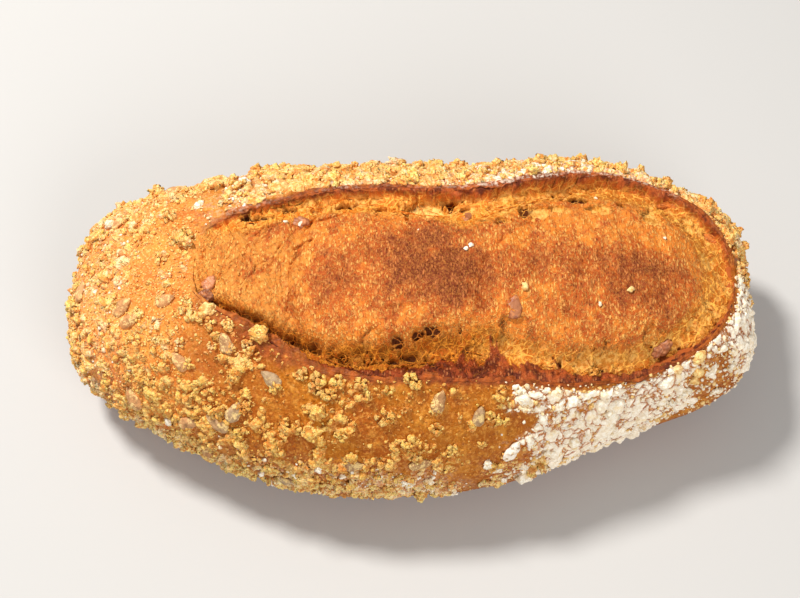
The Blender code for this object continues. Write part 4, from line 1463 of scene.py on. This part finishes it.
def baked_crust():
    """Amber skin, lighter and more orange on the left end, partly its own colour and partly painted light
    where the lamp falls, browner at the lip, and pale where flour dusts it.
    """
    material, tree = new_material("baked_crust")
    # Lighter towards the left end: partly the crust's own orange, partly painted light on the end that faces
    # the lamp.
    left = along_axis(tree, "X", -58, -102)
    amber = blended(tree, left, srgb(182, 107, 20), srgb(240, 158, 74))
    chestnut = blended(tree, left, srgb(160, 80, 10), srgb(222, 122, 50))
    colour = mottled(tree, blended(tree, spots(tree, 22, 0.35, 0.68), chestnut, amber), (
        (5.0, 0.50, 0.70, 0.50, srgb(222, 150, 54), (4, 0.6)),
        (1.3, 0.52, 0.68, 0.53, srgb(250, 180, 84), (4, 0.7)),
        (1.9, 0.52, 0.68, 0.60, srgb(128, 60, 12), (4, 0.7, UNSTRETCHED, 0.4)),
        (2.4, 0.50, 0.66, 0.35, srgb(232, 162, 70), (4, 0.6, (1.7, 0.7, 1))),
    ))
    sparks = product(tree, spots(tree, 0.9, 0.54, 0.64, 3, 0.6), left)
    colour = painted(tree, colour, sparks, srgb(255, 204, 124), 0.75)
    colour = painted(tree, colour, reading(tree, "browned"), srgb(164, 88, 30))
    singed = blended(tree, spots(tree, 2.5, 0.35, 0.7, 4), srgb(98, 38, 18), srgb(176, 82, 32))
    colour = painted(tree, colour, reading(tree, "rim"), singed, 0.85)
    colour = painted(tree, colour, reading(tree, "under"), srgb(164, 88, 34), 0.8)
    dust = product(tree, reading(tree, "flour"), spots(tree, 1.4, 0.44, 0.60, 5, 0.7))
    colour = painted(tree, colour, dust, srgb(244, 226, 204), 0.75)
    blisters = between(tree, grains(tree, 1.9)[0], 0.55, 0.0)
    roughness = between(tree, speckle(tree, 2), 0.3, 0.7, 0.34, 0.60)
    heights = ((speckle(tree, 2.4, 5, 0.6), 0.8), (blisters, 0.25), (speckle(tree, 0.7, 3, 0.6), 0.25))
    return dress(material, colour, roughness, 0.16, heights)


def mound_colour(tree, mix, fine, flecks, fine_web):
    """The mound: orange on the flanks and chestnut on top, with short tan flecks, pebbles, and dark pits
    painted as shade.
    """
    orange = blended(tree, along_axis(tree, "X", -30, -52), srgb(220, 124, 42), srgb(214, 134, 56))
    colour = blended(tree, between(tree, mix, -0.02, 0.36), orange, srgb(180, 82, 28))
    colour = painted(tree, colour, between(tree, mix, 0.30, 1.0), srgb(114, 48, 20))
    colour = painted(tree, colour, spots(tree, 3.2, 0.54, 0.66, 3, 0.6), srgb(150, 70, 40), 0.4)
    colour = painted(tree, colour, between(tree, fine, 0.45, 0.66), srgb(240, 160, 70), 0.35)
    pale = blended(tree, between(tree, mix, 0.1, 0.9), srgb(255, 194, 104), srgb(206, 122, 66))
    dark = blended(tree, between(tree, mix, 0.0, 0.5), srgb(180, 78, 22), srgb(92, 36, 14))
    # Painted shade: dark dashes for small pits in the crumb.
    shaded_pits = dashes(tree, 1.4, 0.45, (1.5, 0.7, 1), 0.07)
    pebbles = dashes(tree, 2.9, 0.4, (1.5, 0.85, 1), 0.11)
    colour = painted(tree, colour, shaded_pits, dark, 0.7)
    for share, strength in ((pebbles, 0.28), (flecks, 0.68), (fine_web, 0.55)):
        colour = painted(tree, colour, share, pale, strength)
    return colour


def valley_colour(tree, far, coarse, web):
    """The valleys: clear gold, dull where membranes shut the open cells, with paler threads across. They
    are darker on the near side and in its hollows, partly their own colour and partly painted shade.
    """
    # Darker on the near side, lighter on the far side: partly painted shade and light.
    colour = blended(tree, far, srgb(178, 86, 12), srgb(202, 106, 20))
    dappled = blended(tree, far, srgb(194, 114, 26), srgb(234, 154, 52))
    colour = painted(tree, colour, between(tree, coarse, 0.46, 0.62), dappled, 0.7)
    colour = painted(tree, colour, reading(tree, "wall"), srgb(212, 104, 28), 0.8)
    colour = painted(tree, colour, along_axis(tree, "X", 26, 60), srgb(178, 94, 24), 0.6)
    # Dark near membranes: partly painted shade in the near hollows.
    membrane = blended(tree, far, srgb(132, 72, 14), srgb(202, 128, 44))
    inner_light = blended(tree, far, srgb(186, 124, 44), srgb(252, 198, 108))
    membrane = painted(tree, membrane, spots(tree, 2.2, 0.42, 0.60, 4, 0.65), inner_light, 0.85)
    hollow = reading(tree, "hollow")
    colour = painted(tree, colour, between(tree, hollow, 0.05, 0.5), membrane, 0.85)
    threads = blended(tree, far, srgb(226, 144, 46), srgb(254, 188, 84))
    shown = product(tree, minus(tree, 1.0, product(tree, hollow, far, 0.6)), web)
    return painted(tree, colour, shown, threads, 0.85)


def torn_crumb_finish():
    """Fibrous crumb: a toasted mound between golden valleys, where a web of strands runs round open
    cells, and browned skin by the lip. Holes, the crack, seams and the hollows' shadowed sides are
    painted dark as shade, and some far hollows get floors painted pale as light."""
    material, tree = new_material("torn_crumb")
    coarse = speckle(tree, 5, 4, 0.6, (1.2, 0.8, 1))
    fine = speckle(tree, 0.75, 4, 0.65, (1.35, 0.75, 1))
    flecks = dashes(tree, 1.6, 0.5, (1.6, 0.75, 1))
    toast, valley, far = (reading(tree, title) for title in ("toast", "valley", "far"))
    broken = product(tree, spots(tree, 1.4, 0.42, 0.58, 3, 0.6), between(tree, valley, 0.0, 1.0, 1.0, 0.55))
    fine_web = product(tree, strands(tree, 1.5, 0.13, (1.3, 0.8, 1)), broken)
    wide_web = strands(tree, 3.6, 0.075, (1.1, 0.9, 1), 0.02)
    web = larger_of(tree, fine_web, wide_web)
    mix = sum_of(tree, toast, between(tree, coarse, 0.34, 0.66, -0.16, 0.16))
    colour = mound_colour(tree, mix, fine, flecks, fine_web)
    golden = valley_colour(tree, far, coarse, web)
    colour = painted(tree, colour, between(tree, valley, 0.1, 0.7), golden)
    # Painted light on the pale floors of some far hollows.
    inner = between(tree, speckle(tree, 2, 4, 0.6), 0.36, 0.56, 0.15, 0.75)
    colour = painted(tree, colour, product(tree, reading(tree, "pale"), inner), srgb(255, 212, 126))
    # Painted shade in holes, the crack, the seams and the hollows' shadowed sides.
    shade = product(tree, between(tree, reading(tree, "shaded_hole"), 0.15, 0.75), minus(tree, 1.1, wide_web))
    colour = painted(tree, colour, shade, srgb(84, 36, 8))
    blotches = between(tree, coarse, 0.4, 0.6)
    near_skin = blended(tree, blotches, srgb(94, 36, 14), srgb(148, 62, 24))
    far_skin = blended(tree, blotches, srgb(98, 42, 24), srgb(172, 82, 36))
    browned = painted(tree, blended(tree, far, near_skin, far_skin), flecks, srgb(206, 128, 76), 0.5)
    skin = product(tree, reading(tree, "skin"), between(tree, speckle(tree, 1.5, 4), 0.2, 0.5, 0.7, 1.0))
    colour = painted(tree, colour, skin, browned)
    rough = minus(tree, 1.0, product(tree, valley, between(tree, far, 0.0, 1.0, 0.35, 0.7)))
    raised = larger_of(tree, flecks, fine_web)
    heights = ((product(tree, fine, rough), 0.45), (product(tree, raised, rough), 0.25),
               (product(tree, web, valley, rough), 0.35))
    return dress(material, colour, 0.55, 0.14, heights)


def meal_finish(title, dark, light, grey=None, coat=False):
    """Meal: grains pressed together, each its own tone, browner in the chinks between them. It is darker on
    the near side and paler on the far side, partly its own tone and partly painted shade and light, and
    paler low down on the near side as painted fill light. A coat is browner at its foot and whiter where
    flour lies on it."""
    material, tree = new_material(title)
    farther, nearer = along_axis(tree, "Y", 10, 40), along_axis(tree, "Y", -14, -44)
    (away, drawn), (near, drawn_near), (tiny, drawn_tiny) = (
        grains(tree, size, shift=shift) for size, shift in ((2.3, 0.0), (1.1, 0.05), (0.6, 0.03)))
    # Darker on the near side: partly the meal's own tone, partly painted shade on the side away from the
    # lamp.
    dark = blended(tree, nearer, dark, srgb(212, 144, 58))
    light = blended(tree, nearer, light, srgb(242, 198, 102))
    tone = sum_of(tree, product(tree, reading(tree, "tone"), 0.7), product(tree, drawn, 0.3))
    colour = blended(tree, tone, dark, light)
    # Paler on the far side: partly painted light where the lamp falls.
    bright = blended(tree, farther, srgb(250, 214, 130), srgb(255, 232, 164))
    colour = painted(tree, colour, between(tree, drawn_near, 0.45, 0.95), bright, 0.5)
    # Painted fill light: paler low down on the near side, where crumbs face away from the lamps; it also lets
    # cream patches in there.
    painted_fill_low = product(tree, nearer, along_axis(tree, "Z", 44, 26))
    colour = painted(tree, colour, painted_fill_low, srgb(255, 228, 150), 0.6)
    creamy = product(tree, spots(tree, 8, 0.56, 0.68, 2), sum_of(tree, minus(tree, 1.0, nearer), painted_fill_low))
    colour = painted(tree, colour, creamy, srgb(255, 238, 204), 0.55)
    glints = blended(tree, nearer, srgb(255, 230, 166), srgb(250, 216, 132))
    colour = painted(tree, colour, between(tree, drawn_tiny, 0.60, 0.95), glints, 0.6)
    if grey:
        colour = painted(tree, colour, spots(tree, 7, 0.50, 0.62, 2), grey, 0.6)
    if coat:
        foot = between(tree, reading(tree, "height"), 0.30, 0.03)
        colour = painted(tree, colour, foot, srgb(198, 100, 32), 0.85)
        dusty = product(tree, reading(tree, "flour"), spots(tree, 2.2, 0.40, 0.56, 4, 0.7))
        colour = painted(tree, colour, dusty, srgb(255, 244, 226), 0.95)
    chinks = larger_of(tree, between(tree, away, 0.48, 0.80), between(tree, near, 0.56, 0.90))
    # Chinks darker on the near side: partly painted shade.
    brown = blended(tree, nearer, srgb(226, 132, 54), srgb(196, 108, 34))
    colour = painted(tree, colour, chinks, brown, 0.72)
    heights = [(minus(tree, 1.0, grain), depth) for grain, depth in ((away, 1.0), (near, 0.5), (tiny, 0.22))]
    surface = tree.nodes["Principled BSDF"]
    surface.inputs["Subsurface Weight"].default_value = 0.35
    surface.inputs["Subsurface Radius"].default_value = (1.0, 0.75, 0.45)
    surface.inputs["Subsurface Scale"].default_value = 0.7 * MM
    return dress(material, colour, 0.75, 0.2, heights)


def floured_finish():
    """Lumps and crumbs rolled in flour: chalky white, and the barest of them still cream yellow."""
    material, tree = new_material("floured_meal")
    patchy = spots(tree, 1.6, 0.36, 0.62, 4, 0.65)
    bare = blended(tree, patchy, srgb(214, 160, 88), srgb(248, 214, 146))
    white = blended(tree, patchy, srgb(232, 208, 168), srgb(255, 248, 232))
    colour = blended(tree, between(tree, reading(tree, "tone"), 0.12, 0.62), bare, white)
    return dress(material, colour, 0.85, 0.2, [(speckle(tree, 0.8, 4, 0.6), 0.5)])


def kernel_finish():
    """Sunflower kernels: grey beige with brown blotches, dusted with flour and meal."""
    material, tree = new_material("sunflower_kernel")
    left = along_axis(tree, "X", -60, -90)
    browner = blended(tree, left, srgb(176, 124, 76), srgb(200, 138, 84))
    greyer = blended(tree, left, srgb(178, 150, 116), srgb(212, 156, 104))
    colour = mottled(tree, blended(tree, reading(tree, "tone"), browner, greyer), (
        (2.0, 0.45, 0.66, 0.70, srgb(146, 104, 66), (4,)),
        (3.0, 0.50, 0.58, 0.85, srgb(240, 206, 138), (5, 0.75, UNSTRETCHED, 0.4)),
    ))
    dusty = between(tree, sum_of(tree, reading(tree, "flour"), speckle(tree, 1.8, 4, 0.7)), 0.75, 0.95)
    colour = painted(tree, colour, dusty, srgb(250, 240, 224))
    return dress(material, colour, 0.62, 0.2, [(speckle(tree, 0.9, 4), 0.5)])


def nut_finish():
    """Walnut: rosy tan to dark brown papery skin, somewhat shiny."""
    material, tree = new_material("walnut")
    colour = mottled(tree, blended(tree, reading(tree, "tone"), srgb(206, 134, 90), srgb(104, 54, 28)), (
        (1.6, 0.46, 0.62, 0.6, srgb(208, 132, 78), (4,)),
        (2.2, 0.52, 0.60, 0.7, srgb(140, 70, 40), (4, 0.55, UNSTRETCHED, 0.5)),
    ))
    return dress(material, colour, 0.42, 0.35, [(speckle(tree, 1.1), 0.3)])


def flour_finish():
    """Flour baked dry: chalky white, browner at the plates' thin edges."""
    material, tree = new_material("flour")
    chalk = blended(tree, spots(tree, 1.2, 0.35, 0.65, 4, 0.6), srgb(236, 218, 190), srgb(254, 246, 230))
    chalk = painted(tree, chalk, spots(tree, 5, 0.54, 0.68, 3, 0.6), srgb(250, 218, 150), 0.38)
    colour = blended(tree, between(tree, reading(tree, "plate"), 0.10, 0.40), srgb(168, 86, 36), chalk)
    return dress(material, colour, 0.9, 0.2, [(speckle(tree, 0.6, 4, 0.6), 0.25)])


# ------------------------------------------------------------------ stage, light and camera


def make_stage():
    mesh = bpy.data.meshes.new("floor")
    half = 3.0
    corners = [(-half, -half, 0), (half, -half, 0), (half, half, 0), (-half, half, 0)]
    mesh.from_pydata(corners, [], [(0, 1, 2, 3)])
    floor = bpy.data.objects.new("floor", mesh)
    floor.location.z = -0.2 * MM
    bpy.context.scene.collection.objects.link(floor)
    material, tree = new_material("floor")
    surface = tree.nodes["Principled BSDF"]
    surface.inputs["Base Color"].default_value = (*FLOOR_TONE, 1)
    surface.inputs["Roughness"].default_value = 0.9
    mesh.materials.append(material)


def make_light(title, place, target, size, power, colour):
    lamp = bpy.data.lights.new(title, "AREA")
    lamp.shape = "DISK"
    lamp.size = size
    lamp.energy = power
    lamp.color = colour
    made = bpy.data.objects.new(title, lamp)
    made.location = place
    made.rotation_euler = look_from(np.array(place) - np.array(target))
    bpy.context.scene.collection.objects.link(made)


def look_from(away):
    """The turn that points an object's -Z back along a direction, with no roll."""
    level = math.hypot(away[0], away[1])
    return (math.atan2(level, away[2]), 0.0, math.atan2(away[0], -away[1]))


def light_scene():
    world = bpy.data.worlds.new("soft_room")
    world.use_nodes = True
    world.node_tree.nodes["Background"].inputs["Color"].default_value = (1.0, 0.99, 0.97, 1)
    world.node_tree.nodes["Background"].inputs["Strength"].default_value = 0.37
    bpy.context.scene.world = world
    middle = (0, 0, 40 * MM)
    make_light("window", (-0.50, 0.34, 1.1), middle, 0.24, 18.5, (1.0, 0.98, 0.94))
    make_light("bounce", (0.42, -0.85, 0.70), middle, 0.7, 7.0, (1.0, 0.98, 0.95))
    bpy.context.scene.view_settings.view_transform = "Standard"


def make_camera():
    """A 70 mm lens 0.6 m away, 62 degrees above the table, aimed at the loaf's middle."""
    elevation, distance, target = math.radians(62), 0.60, np.array([-4.0, 8.0, 40.0]) * MM
    camera = bpy.data.cameras.new("camera")
    camera.lens = 70
    camera.sensor_width = 36
    made = bpy.data.objects.new("camera", camera)
    away = np.array([0, -math.cos(elevation), math.sin(elevation)]) * distance
    made.location = target + away
    made.rotation_euler = look_from(away)
    bpy.context.scene.collection.objects.link(made)
    bpy.context.scene.camera = made


# ------------------------------------------------------------------ the whole


def coarse_share(turn, down, place):
    return meal_share(turn, down, place) ** 1.3


def thick_share(turn, down, place):
    x, y = in_mm(place)
    far = smooth(10, 30, y) * (1 - 0.6 * smooth(-50, -90, x))
    return meal_share(turn, down, place) * (0.25 + 0.75 * far + 0.3 * smooth(-30, -50, y))


def grit_share(turn, down, place):
    left = smooth(-56, -76, place[..., 0] / MM)
    plain = smooth(0.81, 0.78, from_left(turn))
    return smooth(1.6, 1.4, down) * (0.09 * plain + 0.4 * left + meal_share(turn, down, place))


def loose_flour_share(turn, down, place):
    """Mostly at the coat's borders, and along the far lip."""
    share = flour_share(turn, down, place)
    aside = smooth(20, 30, np.abs(place[..., 1] + 6 * MM) / MM)
    return share * (1.06 - share) * aside + 0.01 * smooth(0.79, 0.82, turn)


def speck_share(turn, down, place):
    """Round the flour's coat and on the skin it left bare, and a few all over the near right side."""
    around = from_left(turn)
    right = smooth(0.78, 0.82, around) * smooth(1.04, 0.99, around) * smooth(1.4, 1.1, down)
    share = flour_share(turn, down, place)
    return right * (0.25 + 0.55 * smooth(0, 0.3, share)) * (1 - 0.95 * share) + 0.25 * share * (1 - right)


def make_toppings():
    golden = meal_finish("meal", srgb(232, 160, 74), srgb(250, 210, 112))
    clumped = meal_finish("clumped_meal", srgb(230, 164, 82), srgb(250, 212, 124), srgb(228, 184, 112))
    bright = meal_finish("meal_grit", srgb(240, 178, 92), srgb(255, 226, 146))
    coated = meal_finish("meal_coat", srgb(230, 156, 72), srgb(250, 211, 116), srgb(230, 180, 104), coat=True)
    pale = floured_finish()
    for sheet in make_meal_coats():
        finished(sheet, coated)
    finished(make_flour_coat(), flour_finish())
    places = clump_places()
    clumps = np.concatenate([places[len(FLOUR_LUMPS):], beside_kernels()])
    white = (clumps[:, 0] > 0.795) & (clumps[:, 0] < 0.99)
    finished(piled("meal_clumps", clumps[~white], CRUMBS_IN_CLUMP, 240), clumped)
    finished(piled("floured_clumps", clumps[white], CRUMBS_IN_CLUMP, 245), pale)
    finished(make_floured_lumps(places[: len(FLOUR_LUMPS)]), pale)
    for kind, material in (
        (("meal_crumbs", 1500, (0.6, 1.5), 1, 260, coarse_share, 0.9), golden),
        (("large_crumbs", 540, (1.2, 2.9), 2, 265, thick_share, 1.0, (0.6, 1.5 * MM)), golden),
        (("meal_grit", 7600, (0.24, 0.66), 0, 270, grit_share, 0.3), bright),
        (("floured_crumbs", 230, (0.6, 1.9), 2, 280, loose_flour_share, 0.5, (0.6, 1.2 * MM)), pale),
        (("flour_specks", 2200, (0.32, 1.0), 0, 290, speck_share, 0.2), pale),
    ):
        finished(make_meal(*kind), material)
    finished(make_kernels(), kernel_finish())
    walnut = nut_finish()
    finished(make_held_kernel(), walnut)
    finished(make_nuts(), walnut)
    finished(make_specks(), pale)


def main():
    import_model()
    crust_finish = baked_crust()
    crust = finished(make_crust(), crust_finish)
    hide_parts("loaf")
    finished(make_lip_edge(), crust_finish)
    crumb_finish = torn_crumb_finish()
    finished(make_threads(), crumb_finish)
    for half in make_torn_crumb():
        finished(half, crumb_finish)
    make_toppings()
    make_stage()
    light_scene()
    make_camera()


main()
